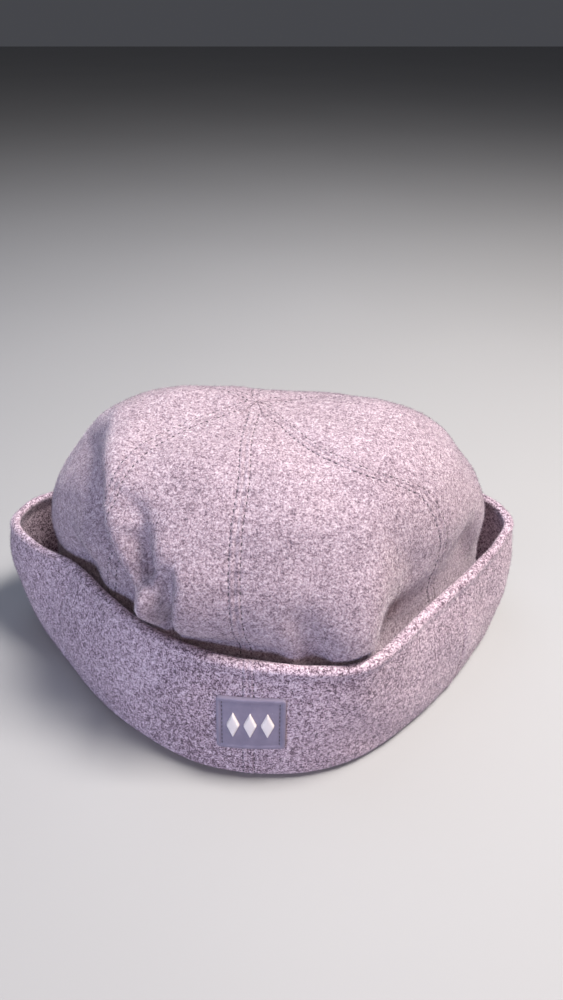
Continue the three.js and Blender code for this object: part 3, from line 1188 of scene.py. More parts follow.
class StitchTree(Tree):
    """Stitches laid end to end along runs whose points know the cloth's direction."""

    NORMAL = "cloth_normal"
    BALL_SIDES = 6

    def __init__(self) -> None:
        """Build the tree: stretched balls on an evenly stepped curve, turned along it."""
        super().__init__("stitches", (
            ("Pitch", "NodeSocketFloat", 3.0 * MM),
            ("Length", "NodeSocketFloat", 2.3 * MM),
            ("Radius", "NodeSocketFloat", 0.26 * MM),
            ("Finish", "NodeSocketMaterial", 0.0),
        ))
        curve = self.add("GeometryNodeMeshToCurve")
        self.join(self.start.outputs["Geometry"], curve.inputs["Mesh"])
        even = self.add("GeometryNodeResampleCurve", mode="LENGTH")
        self.join(curve.outputs["Curve"], even.inputs["Curve"])
        self.join(self.start.outputs["Pitch"], even.inputs["Length"])
        ball = self.add("GeometryNodeMeshUVSphere")
        ball.inputs["Segments"].default_value = self.BALL_SIDES
        ball.inputs["Rings"].default_value = self.BALL_SIDES
        ball.inputs["Radius"].default_value = 1.0
        half = self.add("ShaderNodeMath", operation="MULTIPLY")
        self.join(self.start.outputs["Length"], half.inputs[0])
        half.inputs[1].default_value = 0.5
        size = self.add("ShaderNodeCombineXYZ")
        self.join(half.outputs["Value"], size.inputs["X"])
        self.join(self.start.outputs["Radius"], size.inputs["Y"])
        self.join(self.start.outputs["Radius"], size.inputs["Z"])
        shaped = self.add("GeometryNodeTransform")
        self.join(ball.outputs["Mesh"], shaped.inputs["Geometry"])
        self.join(size.outputs["Vector"], shaped.inputs["Scale"])
        along = self.add("FunctionNodeAlignRotationToVector", axis="X")
        self.join(self.add("GeometryNodeInputTangent").outputs["Tangent"], along.inputs["Vector"])
        upright = self.add("FunctionNodeAlignRotationToVector", axis="Z", pivot_axis="X")
        self.join(along.outputs["Rotation"], upright.inputs["Rotation"])
        normal = self.add("GeometryNodeInputNamedAttribute", data_type="FLOAT_VECTOR")
        normal.inputs["Name"].default_value = self.NORMAL
        self.join(normal.outputs["Attribute"], upright.inputs["Vector"])
        placed = self.add("GeometryNodeInstanceOnPoints")
        self.join(even.outputs["Curve"], placed.inputs["Points"])
        self.join(shaped.outputs["Geometry"], placed.inputs["Instance"])
        self.join(upright.outputs["Rotation"], placed.inputs["Rotation"])
        self.close(placed.outputs["Instances"])


class NapTree(Tree):
    """Short tapered fibres spread over the brushed face of a cloth, lying at random."""

    TONE = "fibre_tone"
    BRUSHED = "brushed"
    LEAST_LEAN = math.radians(38)
    MOST_LEAN = math.radians(86)
    LEAST_SIZE = (0.8, 0.8, 0.35)
    MOST_SIZE = (1.3, 1.3, 1.25)
    WHOLLY = 0.99

    def __init__(self) -> None:
        """Build the tree: cones of three sides on random points, each with its own lean, size and tone."""
        super().__init__("nap", (
            ("Density", "NodeSocketFloat", 1.0e6),
            ("Length", "NodeSocketFloat", 1.3 * MM),
            ("Radius", "NodeSocketFloat", 0.06 * MM),
            ("Seed", "NodeSocketInt", 0),
            ("Finish", "NodeSocketMaterial", 0.0),
        ))
        spread = self.add("GeometryNodeDistributePointsOnFaces", distribute_method="RANDOM")
        self.join(self.start.outputs["Geometry"], spread.inputs["Mesh"])
        face = self.add("GeometryNodeInputNamedAttribute", data_type="FLOAT")
        face.inputs["Name"].default_value = self.BRUSHED
        full = self.add("FunctionNodeCompare", data_type="FLOAT", operation="GREATER_THAN")
        self.join(face.outputs["Attribute"], full.inputs["A"])
        full.inputs["B"].default_value = self.WHOLLY
        self.join(full.outputs["Result"], spread.inputs["Selection"])
        self.join(self.start.outputs["Density"], spread.inputs["Density"])
        self.join(self.start.outputs["Seed"], spread.inputs["Seed"])
        fibre = self.add("GeometryNodeMeshCone", fill_type="NGON")
        fibre.inputs["Vertices"].default_value = 3
        fibre.inputs["Radius Top"].default_value = 0.0
        self.join(self.start.outputs["Radius"], fibre.inputs["Radius Bottom"])
        self.join(self.start.outputs["Length"], fibre.inputs["Depth"])
        lean = self.random("FLOAT_VECTOR", (self.LEAST_LEAN, 0.0, 0.0), (self.MOST_LEAN, 0.0, TAU))
        turned = self.add("FunctionNodeRotateRotation", rotation_space="LOCAL")
        self.join(spread.outputs["Rotation"], turned.inputs["Rotation"])
        self.join(lean, turned.inputs["Rotate By"])
        size = self.random("FLOAT_VECTOR", self.LEAST_SIZE, self.MOST_SIZE)
        placed = self.add("GeometryNodeInstanceOnPoints")
        self.join(spread.outputs["Points"], placed.inputs["Points"])
        self.join(fibre.outputs["Mesh"], placed.inputs["Instance"])
        self.join(turned.outputs["Rotation"], placed.inputs["Rotation"])
        self.join(size, placed.inputs["Scale"])
        tone = self.add("GeometryNodeStoreNamedAttribute", data_type="FLOAT", domain="INSTANCE")
        tone.inputs["Name"].default_value = self.TONE
        self.join(placed.outputs["Instances"], tone.inputs["Geometry"])
        self.join(self.random("FLOAT", 0.0, 1.0), tone.inputs["Value"])
        self.close(tone.outputs["Geometry"])

    def random(self, kind: str, least: object, most: object) -> bpy.types.NodeSocket:
        """A random value for each fibre, from the tree's seed.

        Args:
            kind: the value's data type.
            least: its lowest value.
            most: its highest value.

        Returns:
            The value's socket.
        """
        node = self.add("FunctionNodeRandomValue", data_type=kind)
        low, high = [socket for socket in node.inputs if socket.enabled and socket.name in ("Min", "Max")]
        low.default_value = least
        high.default_value = most
        self.join(self.start.outputs["Seed"], node.inputs["Seed"])
        return next(socket for socket in node.outputs if socket.enabled)


# The hat's sub-assemblies


def next_seam(k: int) -> Seam:
    """The seam after a seam, with its azimuths past the first one's.

    Args:
        k: number of the first seam.

    Returns:
        The next seam round the hat.
    """
    seam = SEAMS[(k + 1) % len(SEAMS)]
    turn = 360 if k + 1 == len(SEAMS) else 0
    return Seam(seam.foot + turn, seam.shoulder + turn, seam.top + turn, seam.piece)


@dataclass(frozen=True)
class StitchSize:
    """Sizes of a row of stitches, in millimetres.

    Attributes:
        pitch: distance from one stitch to the next.
        length: length of a stitch.
        radius: radius of its thread.
    """

    pitch: float
    length: float
    radius: float

    def values(self) -> dict[str, float]:
        """The stitch tree's inputs, in metres."""
        return {"Pitch": self.pitch * MM, "Length": self.length * MM, "Radius": self.radius * MM}


TOPSTITCH = StitchSize(pitch=2.7, length=1.55, radius=0.36)


@dataclass
class Workshop:
    """What every sub-assembly shares.

    Attributes:
        shift: move from the hat's own middle to the frame, in metres.
        finishes: the materials by name.
        stitches: the tree that lays stitches.
        nap: the tree that raises the nap.
    """

    shift: Vector
    finishes: dict[str, bpy.types.Material]
    stitches: StitchTree
    nap: NapTree

    def settle(self, piece: bpy.types.Object, slot: str, *nodes: str) -> None:
        """Seat a finished piece on its body.

        Args:
            piece: the piece's object.
            slot: the record's slot, which is not used.
            *nodes: the nodes that it stands for.
        """
        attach(piece, BODY)
        if nodes:
            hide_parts(*nodes)
        log.info("%s: %d faces, for %s", piece.name, len(piece.data.polygons), ", ".join(nodes) or "no node")

    def sew(self, name: str, slot: str, runs: Sequence[Run], size: StitchSize) -> None:
        """Lay stitches along runs and settle them on the body.

        Args:
            name: name of the stitches' object.
            slot: the record's slot, passed on to settle.
            runs: points and outward directions of each run, in millimetres about the hat's middle.
            size: sizes of the stitches.
        """
        points, normals, edges = [], [], []
        for run, directions in runs:
            first = len(points)
            points.extend((run * MM + np.array(self.shift)).tolist())
            normals.extend(directions.tolist())
            edges.extend((first + i, first + i + 1) for i in range(len(run) - 1))
        mesh = bpy.data.meshes.new(name + "_run")
        mesh.from_pydata(points, edges, [])
        layer = mesh.attributes.new(StitchTree.NORMAL, "FLOAT_VECTOR", "POINT")
        layer.data.foreach_set("vector", np.array(normals, np.float32).ravel())
        source = bpy.data.objects.new(name + "_run", mesh)
        bpy.context.scene.collection.objects.link(source)
        made = self.stitches.run(source, name, {**size.values(), "Finish": self.finishes["thread"]})
        bpy.data.objects.remove(source)
        made.data.polygons.foreach_set("use_smooth", np.ones(len(made.data.polygons), bool))
        self.settle(made, slot)

    def brush(self, cloth: bpy.types.Object, name: str, slot: str, density: float, length: float,
              seed: int) -> None:
        """Raise the nap on a cloth's brushed face.

        Args:
            cloth: the cloth's object.
            name: name of the nap's object.
            slot: the record's slot, passed on to settle.
            density: fibres to a square millimetre.
            length: length of a long fibre, in millimetres.
            seed: seed of the fibres' places.
        """
        values = {"Density": density / MM ** 2, "Length": length * MM, "Seed": seed}
        made = self.nap.run(cloth, name, {**values, "Finish": self.finishes["nap"]})
        self.settle(made, slot)


@dataclass
class Crown:
    """The crown's six gores, their double rows of stitches and their nap.

    Attributes:
        shop: the shared workshop.
        row_pitch: distance of the cloth's rows, in millimetres.
        middle_columns: columns of a gore between the fine ones at its seams.
        point_radius: reach at which the gores end under the crown's top.
        path_steps: steps in which the length of a gore is measured.
        width_steps: steps in which the width of a gore's row is measured.
        seam_width: width of a row from which its seams show in full.
        seam_least: share of them on a row of no width.
        ripple_width: width of a row from which it ripples in full.
        stitch_room: width of a row that takes stitches, in distances of their rows from the seam.
        brushed_above: height over which the cloth has nap.
        nap_density: fibres to a square millimetre.
        nap_length: length of a long fibre, in millimetres.
        ripple: the cloth's unevenness.
    """

    shop: Workshop
    row_pitch: float = 1.6
    middle_columns: int = 54
    point_radius: float = 0.25
    path_steps: int = 2000
    width_steps: int = 25
    seam_width: float = 14.0
    seam_least: float = 0.3
    ripple_width: float = 20.0
    stitch_room: float = 2.6
    brushed_above: float = 45.0
    nap_density: float = 1.1
    nap_length: float = 1.6
    ripple: Ripple = Ripple(seed=11, longest=60, shortest=9, height=0.45)

    def levels(self, azimuth: float) -> np.ndarray:
        """Levels of the rows of a gore, evenly spaced along its middle.

        Args:
            azimuth: the gore's middle at its shoulder.

        Returns:
            A level for each row.
        """
        last = len(SECTIONS) - 1
        fine = np.linspace(0, last - self.point_radius / SECTIONS[-2].side, self.path_steps)
        path = FORM.crown_base(np.full_like(fine, azimuth), fine)
        length = np.concatenate([[0], np.cumsum(np.linalg.norm(np.diff(path, axis=0), axis=1))])
        count = int(length[-1] / self.row_pitch)
        return np.interp(np.linspace(0, length[-1], count), length, fine)

    def gore(self, k: int) -> tuple[ClothGrid, np.ndarray, np.ndarray, np.ndarray]:
        """The cloth of one gore.

        Args:
            k: number of the seam before it.

        Returns:
            Its wall, its outward directions, the width of its rows and the distances of its columns.
        """
        start, end = SEAMS[k], next_seam(k)
        levels = self.levels((start.shoulder + end.shoulder) / 2)
        height = FORM.section("height", levels)
        first, last = FORM.seam_azimuth(start, height), FORM.seam_azimuth(end, height)
        across = np.linspace(0, 1, self.width_steps)[None, :]
        span = (last - first)[:, None]
        coarse = FORM.crown_base(first[:, None] + span * across, levels[:, None] + 0 * across)
        width = lengths_along(coarse, 1)[:, -1]
        distance = columns_across(width, self.middle_columns)
        inset = SEAM_HALF_GAP / width[:, None]
        share = inset + (1 - 2 * inset) * distance / width[:, None]
        azimuth = first[:, None] + span * share
        level = np.broadcast_to(levels[:, None], azimuth.shape)
        body = FORM.crown(azimuth, level)
        normals = grid_normals(body)
        along = lengths_along(body, 0)
        easing = self.seam_least + (1 - self.seam_least) * smooth(width / self.seam_width)[:, None]
        push = (STITCHED.push(distance, along) + STITCHED.push(width[:, None] - distance, along)) * easing
        push = push + self.ripple.at(body) * smooth(width / self.ripple_width)[:, None]
        outer = FORM.inside_cuff(body + push[..., None] * normals, 0.0)
        inner = FORM.crown(azimuth, level, FORM.crown_wall)
        return ClothGrid(outer, inner, brushed_above=self.brushed_above), normals, width, distance

    def stitch_rows(self, grid: ClothGrid, normals: np.ndarray, width: np.ndarray,
                    distance: np.ndarray) -> list[Run]:
        """The gore's two rows of stitches, each beside one of its seams.

        Args:
            grid: the gore's wall.
            normals: its outward directions.
            width: width of its rows.
            distance: distances of its columns from the first seam, row by row.

        Returns:
            The two runs.
        """
        rows = np.flatnonzero(width > self.stitch_room * STITCHED.row)[::2]
        aims = (np.full(len(rows), STITCHED.row), width[rows] - STITCHED.row)
        return [sewn_run(grid.outer[rows], normals[rows], distance[rows], aim) for aim in aims]

    def build(self) -> None:
        """Build, sew and brush the gores."""
        shop = self.shop
        runs = []
        for k, seam in enumerate(SEAMS):
            grid, normals, width, distance = self.gore(k)
            cloth = grid.object(f"crown_cloth_{seam.piece}", shop.shift, shop.finishes["wool_crown"])
            runs += self.stitch_rows(grid, normals, width, distance)
            shop.brush(cloth, f"crown_nap_{seam.piece}", "wool_crown", self.nap_density, self.nap_length, k)
            shop.settle(cloth, "wool_crown", f"crown_gore_{seam.piece}")
        shop.sew("crown_topstitching", "wool_crown", runs, TOPSTITCH)


@dataclass
class Cuff:
    """The turned-up cuff's six panels, the stitches of its front seam and its nap.

    Attributes:
        shop: the shared workshop.
        row_pitch: distance of the cloth's rows on the outer leg, in millimetres.
        middle_columns: columns of a panel between the fine ones at its seams.
        path_steps: steps in which the width of a panel is measured.
        leg_steps: rows of the inner leg over the fold.
        fold_steps: rows round the fold.
        rim_steps: rows round the rim's edge.
        edge_least: share of the wall that is left at the rim's top.
        roll: how much thicker the cloth is at the rim, on each face.
        roll_in: share of that by which its middle lies further in.
        roll_height: height over which it thickens.
        lip_height: height of the turned lip along the rim.
        lip_swell: how far the lip stands proud.
        lip_wave: how far the rim's height wavers.
        lip_middle: how far under the rim the lip's middle lies.
        dip_share: depth of the dip under the lip, to the lip's swell.
        dip_place: how far under the rim the dip lies, in heights of the lip.
        dip_width: half width of that dip.
        upper_from: height over which the rim's forms count.
        ripple_rise: height over which the ripple grows from the fold.
        flat_height: height up to which the fold keeps its flat strip.
        rest_height: height over which the front seam's stitches start.
        rim_margin: how far under the rim they end.
        inner_rows: rows of the inner leg and fold, which take no stitches.
        inner_brushed_above: height over which the inner face has nap.
        first_seed: seed of the first panel's nap.
        nap_density: fibres to a square millimetre.
        nap_length: length of a long fibre, in millimetres.
        ripple: the cloth's unevenness.
        wave: the wavering of the rim.
        wave_reach: reach of the ring on which that is read.
    """

    shop: Workshop
    row_pitch: float = 1.6
    middle_columns: int = 52
    path_steps: int = 200
    leg_steps: int = 3
    fold_steps: int = 14
    rim_steps: int = 8
    edge_least: float = 0.04
    roll: float = 1.0
    roll_in: float = 0.6
    roll_height: float = 9.0
    lip_height: float = 4.0
    lip_swell: float = 0.45
    lip_wave: float = 0.55
    lip_middle: float = 1.6
    dip_share: float = 0.7
    dip_place: float = 1.3
    dip_width: float = 1.4
    upper_from: float = 30.0
    ripple_rise: float = 10.0
    flat_height: float = 0.2
    rest_height: float = 3.5
    rim_margin: float = 2.0
    inner_rows: int = 12
    inner_brushed_above: float = 57.0
    first_seed: int = 20
    nap_density: float = 1.1
    nap_length: float = 1.6
    ripple: Ripple = Ripple(seed=23, longest=55, shortest=9, height=0.38)
    wave: Ripple = Ripple(seed=5, longest=70, shortest=14, height=1.0, count=10)
    wave_reach: float = 110.0

    def profile(self, azimuth: np.ndarray) -> tuple[np.ndarray, np.ndarray]:
        """The cuff's section at azimuths, from the top of the inner leg round the fold and up to the rim.

        Args:
            azimuth: degrees, one for each column.

        Returns:
            Reach and height of the outer face, then of the inner face: arrays of 2 by rows by columns.
        """
        form, wall = FORM, FORM.cuff_wall
        rim = form.plan("rim_height", azimuth)
        middle = form.cuff_reach(azimuth, form.fold_centre + 0 * azimuth) - wall / 2 - form.fold_radius
        outer, inner = [], []
        far, near = form.fold_radius + wall / 2, form.fold_radius - wall / 2
        for height in np.linspace(form.inner_leg_top, form.fold_centre, self.leg_steps + 1)[:-1]:
            outer.append((middle - far, height + 0 * azimuth))
            inner.append((middle - near, height + 0 * azimuth))
        for turn in np.linspace(math.pi, 0, self.fold_steps):
            c, s = math.cos(turn), math.sin(turn)
            outer.append((middle + far * c, np.maximum(0, form.fold_centre - far * s) + 0 * azimuth))
            inner.append((middle + near * c, form.fold_centre - near * s + 0 * azimuth))
        leg = int((rim.mean() - form.fold_centre) / self.row_pitch)
        full = wall / 2 + self.roll
        for share in np.linspace(0, 1, leg)[1:]:
            height = form.fold_centre + (rim - full - form.fold_centre) * share
            centre = form.cuff_reach(azimuth, height) - wall / 2
            more = self.roll * smooth((height - rim + self.roll_height) / self.roll_height)
            centre = centre - self.roll_in * more
            outer.append((centre + wall / 2 + more, height))
            inner.append((centre - wall / 2 - more, height))
        for turn in np.linspace(0, math.pi / 2, self.rim_steps + 1)[1:]:
            c, s = math.cos(turn), math.sin(turn)
            height = rim - full * (1 - s)
            more = self.roll * smooth((height - rim + self.roll_height) / self.roll_height)
            centre = form.cuff_reach(azimuth, height) - wall / 2 - self.roll_in * more
            half = (wall / 2 + more) * max(c, self.edge_least)
            outer.append((centre + half, height))
            inner.append((centre - half, height))
        return np.array(outer).transpose(1, 0, 2), np.array(inner).transpose(1, 0, 2)

    def panel(self, k: int) -> tuple[ClothGrid, np.ndarray, np.ndarray]:
        """The cloth of one panel.

        Args:
            k: number of the seam before it.

        Returns:
            Its wall, its outward directions and the distances of its columns from its first seam.
        """
        fine = np.linspace(SEAMS[k].foot, next_seam(k).foot, self.path_steps)
        x, y = around(fine)
        reach = FORM.plan("foot", fine)
        path = np.stack([x * reach, y * reach], -1)
        length = np.concatenate([[0], np.cumsum(np.linalg.norm(np.diff(path, axis=0), axis=1))])
        width = length[-1:]
        distance = columns_across(width, self.middle_columns)[0]
        distance = np.clip(distance, SEAM_HALF_GAP, width - SEAM_HALF_GAP)
        azimuth = np.interp(distance, length, fine)
        x, y = around(azimuth)
        face, back = [np.stack([x * r, y * r, z], -1) for r, z in self.profile(azimuth)]
        normals = grid_normals(face)
        height = face[..., 2]
        push = self.seam_push(k, distance, width[0], lengths_along(face, 0))
        push = push + self.ripple.at(face) * smooth((height + 2) / self.ripple_rise)
        push = push + self.lip(face, azimuth)
        push = push * (height > self.flat_height)
        outer = face + push[..., None] * normals
        outer[..., 2] += self.rim_lift(azimuth, height)
        outer[..., 2] = np.maximum(outer[..., 2], 0)
        inner = back.copy()
        inner[..., 2] += self.rim_lift(azimuth, back[..., 2])
        return ClothGrid(outer, inner, inner_brushed_above=self.inner_brushed_above), normals, distance

    def seam_push(self, k: int, distance: np.ndarray, width: float, up: np.ndarray) -> np.ndarray:
        """Push of the seams at both sides of a panel.

        Args:
            k: number of the seam before it.
            distance: distances of its columns from that seam.
            width: the panel's width.
            up: length up its section, for each point.

        Returns:
            The push at each point, in millimetres.
        """
        first = STITCHED if k == FRONT_SEAM else PLAIN_SEAM
        last = STITCHED if k + 1 == FRONT_SEAM else PLAIN_SEAM
        return first.push(distance[None, :] + 0 * up, up) + last.push(width - distance[None, :] + 0 * up, up)

    def rim_lift(self, azimuth: np.ndarray, height: np.ndarray) -> np.ndarray:
        """How far the rim's wavering lifts the cloth.

        Args:
            azimuth: degrees, one for each column.
            height: height of each point.

        Returns:
            The lift of each point, in millimetres.
        """
        x, y = around(azimuth)
        ring = np.stack([self.wave_reach * x, self.wave_reach * y, 0 * x], -1)
        lift = self.lip_wave * self.wave.at(ring)
        return lift[None, :] * smooth((height - self.upper_from) / self.upper_from)

    def lip(self, points: np.ndarray, azimuth: np.ndarray) -> np.ndarray:
        """Push of the turned lip along the rim, with the soft dip under it.

        Args:
            points: points of the outer face.
            azimuth: degrees, one for each column.

        Returns:
            The push at each point, in millimetres.
        """
        below = FORM.plan("rim_height", azimuth)[None, :] - points[..., 2]
        lip = self.lip_swell * bell((below - self.lip_middle) / (0.5 * self.lip_height))
        dip_depth = -self.dip_share * self.lip_swell
        dip = dip_depth * bell((below - self.dip_place * self.lip_height) / self.dip_width)
        return (lip + dip) * (points[..., 2] > self.upper_from)

    def front_run(self, k: int, grid: ClothGrid, normals: np.ndarray, distance: np.ndarray) -> Run:
        """The row of stitches of a panel beside the front seam, from the bottom fold to the rim.

        Args:
            k: number of the seam before the panel.
            grid: the panel's wall.
            normals: its outward directions.
            distance: distances of its columns from its first seam.

        Returns:
            The run.
        """
        height = grid.outer[..., 2].mean(axis=1)
        top = FORM.plan("rim_height", np.array([0.0]))[0] - self.rim_margin
        outer_leg = np.arange(len(height)) > self.inner_rows
        rows = np.flatnonzero((height > self.rest_height) & (height < top) & outer_leg)
        aim = STITCHED.row if k == FRONT_SEAM else distance[-1] - STITCHED.row
        distances = np.broadcast_to(distance, (len(rows), len(distance)))
        return sewn_run(grid.outer[rows], normals[rows], distances, np.full(len(rows), aim))

    def build(self) -> None:
        """Build, sew and brush the panels."""
        shop = self.shop
        runs = []
        for k, seam in enumerate(SEAMS):
            grid, normals, distance = self.panel(k)
            cloth = grid.object(f"cuff_cloth_{seam.piece}", shop.shift, shop.finishes["wool_cuff"])
            if FRONT_SEAM in (k, k + 1):
                runs.append(self.front_run(k, grid, normals, distance))
            name, seed = f"cuff_nap_{seam.piece}", self.first_seed + k
            shop.brush(cloth, name, "wool_cuff", self.nap_density, self.nap_length, seed)
            shop.settle(cloth, "wool_cuff", f"cuff_panel_{seam.piece}")
        shop.sew("cuff_topstitching", "wool_cuff", runs, TOPSTITCH)


class Outline(Enum):
    """Outline of a moulded plate."""

    ROUNDED = "rounded rectangle"
    LOZENGE = "lozenge"


@dataclass(frozen=True)
class BadgePlace:
    """Where the badge lies on the cuff's front face.

    Attributes:
        azimuth: degrees of its middle from the front.
        height: height of its middle, in millimetres.
        slope: how far it rises for each millimetre across.
    """

    azimuth: float = -3.9
    height: float = 32.2
    slope: float = 0.085

    def points(self, across: np.ndarray, up: np.ndarray, offset: np.ndarray) -> np.ndarray:
        """Points on the badge.

        Args:
            across: places across it.
            up: places up it.
            offset: distance of each place from the cuff's face.

        Returns:
            A point for each place, in millimetres.
        """
        height = self.height + self.slope * across + up
        reach = FORM.cuff_reach(np.full_like(height, self.azimuth), height)
        azimuth = self.azimuth + np.degrees(across / reach)
        x, y = around(azimuth)
        r = FORM.cuff_reach(azimuth, height) + offset
        return np.stack([x * r, y * r, height], -1)


@dataclass(frozen=True)
class Plate:
    """A moulded plate on the cuff's front.

    Attributes:
        outline: its kind of outline.
        width: its width.
        tall: its height.
        corner: radius of its corners, or length of its blunt tips.
        base: how far its back lies off the cuff's face.
        relief: thickness at a distance from its edge and a place across and up.
        side_crowding: share by which its columns crowd towards its sides.
        end_crowding: share by which its rows crowd towards its ends.
        blunt: least distance from the edge that its tips count as having.
    """

    outline: Outline
    width: float
    tall: float
    corner: float
    base: float
    relief: Callable[[np.ndarray, np.ndarray, np.ndarray], np.ndarray]
    side_crowding: float = 0.55
    end_crowding: float = 0.5
    blunt: float = 0.1

    def half_height(self, across: np.ndarray) -> np.ndarray:
        """Half the plate's height.

        Args:
            across: places across it.

        Returns:
            The half height at each place.
        """
        x = np.abs(across)
        if self.outline is Outline.LOZENGE:
            share = x / (self.width / 2)
            return self.tall / 2 * (1 - share) + self.corner / 2 * share
        beyond = np.clip(x - (self.width / 2 - self.corner), 0, self.corner)
        return self.tall / 2 - self.corner + np.sqrt(self.corner ** 2 - beyond ** 2)

    def edge_distance(self, across: np.ndarray, up: np.ndarray) -> np.ndarray:
        """Distance from the outline, inside it.

        Args:
            across: places across the plate.
            up: places up it.

        Returns:
            The distance at each place, or 0 outside.
        """
        x, y = np.abs(across), np.abs(up)
        if self.outline is Outline.LOZENGE:
            normal = np.array([self.tall, self.width]) / math.hypot(self.tall, self.width)
            line = self.width / 2 * normal[0] - x * normal[0] - y * normal[1]
            return np.maximum(0, np.minimum(line + self.blunt, self.width / 2 - x))
        qx, qy = x - (self.width / 2 - self.corner), y - (self.tall / 2 - self.corner)
        outside = np.hypot(np.maximum(qx, 0), np.maximum(qy, 0)) + np.minimum(np.maximum(qx, qy), 0)
        return np.maximum(0, self.corner - outside)

    def crowded(self, count: int, share: float) -> np.ndarray:
        """Places from -1 to 1 that crowd towards both ends.

        Args:
            count: number of places.
            share: how far they crowd, from 0 to 1.

        Returns:
            The places, in order.
        """
        turn = np.linspace(-math.pi / 2, math.pi / 2, count)
        return share * np.sin(turn) + (1 - share) * turn / (math.pi / 2)

    def grid(self, place: BadgePlace, middle: float, columns: int, rows: int) -> ClothGrid:
        """The plate's wall, about a middle across the badge.

        Args:
            place: where the badge lies.
            middle: the plate's middle across the badge.
            columns: number of columns.
            rows: number of rows.

        Returns:
            The wall between its face and its back.
        """
        across = self.width / 2 * self.crowded(columns, self.side_crowding)
        up = self.crowded(rows, self.end_crowding)[:, None] * self.half_height(across)[None, :]
        x = np.broadcast_to(across[None, :], up.shape)
        thick = self.relief(self.edge_distance(x, up), x, up)
        back = place.points(x + middle, up, self.base + 0 * x)
        face = place.points(x + middle, up, self.base + thick)
        return ClothGrid(face, back)


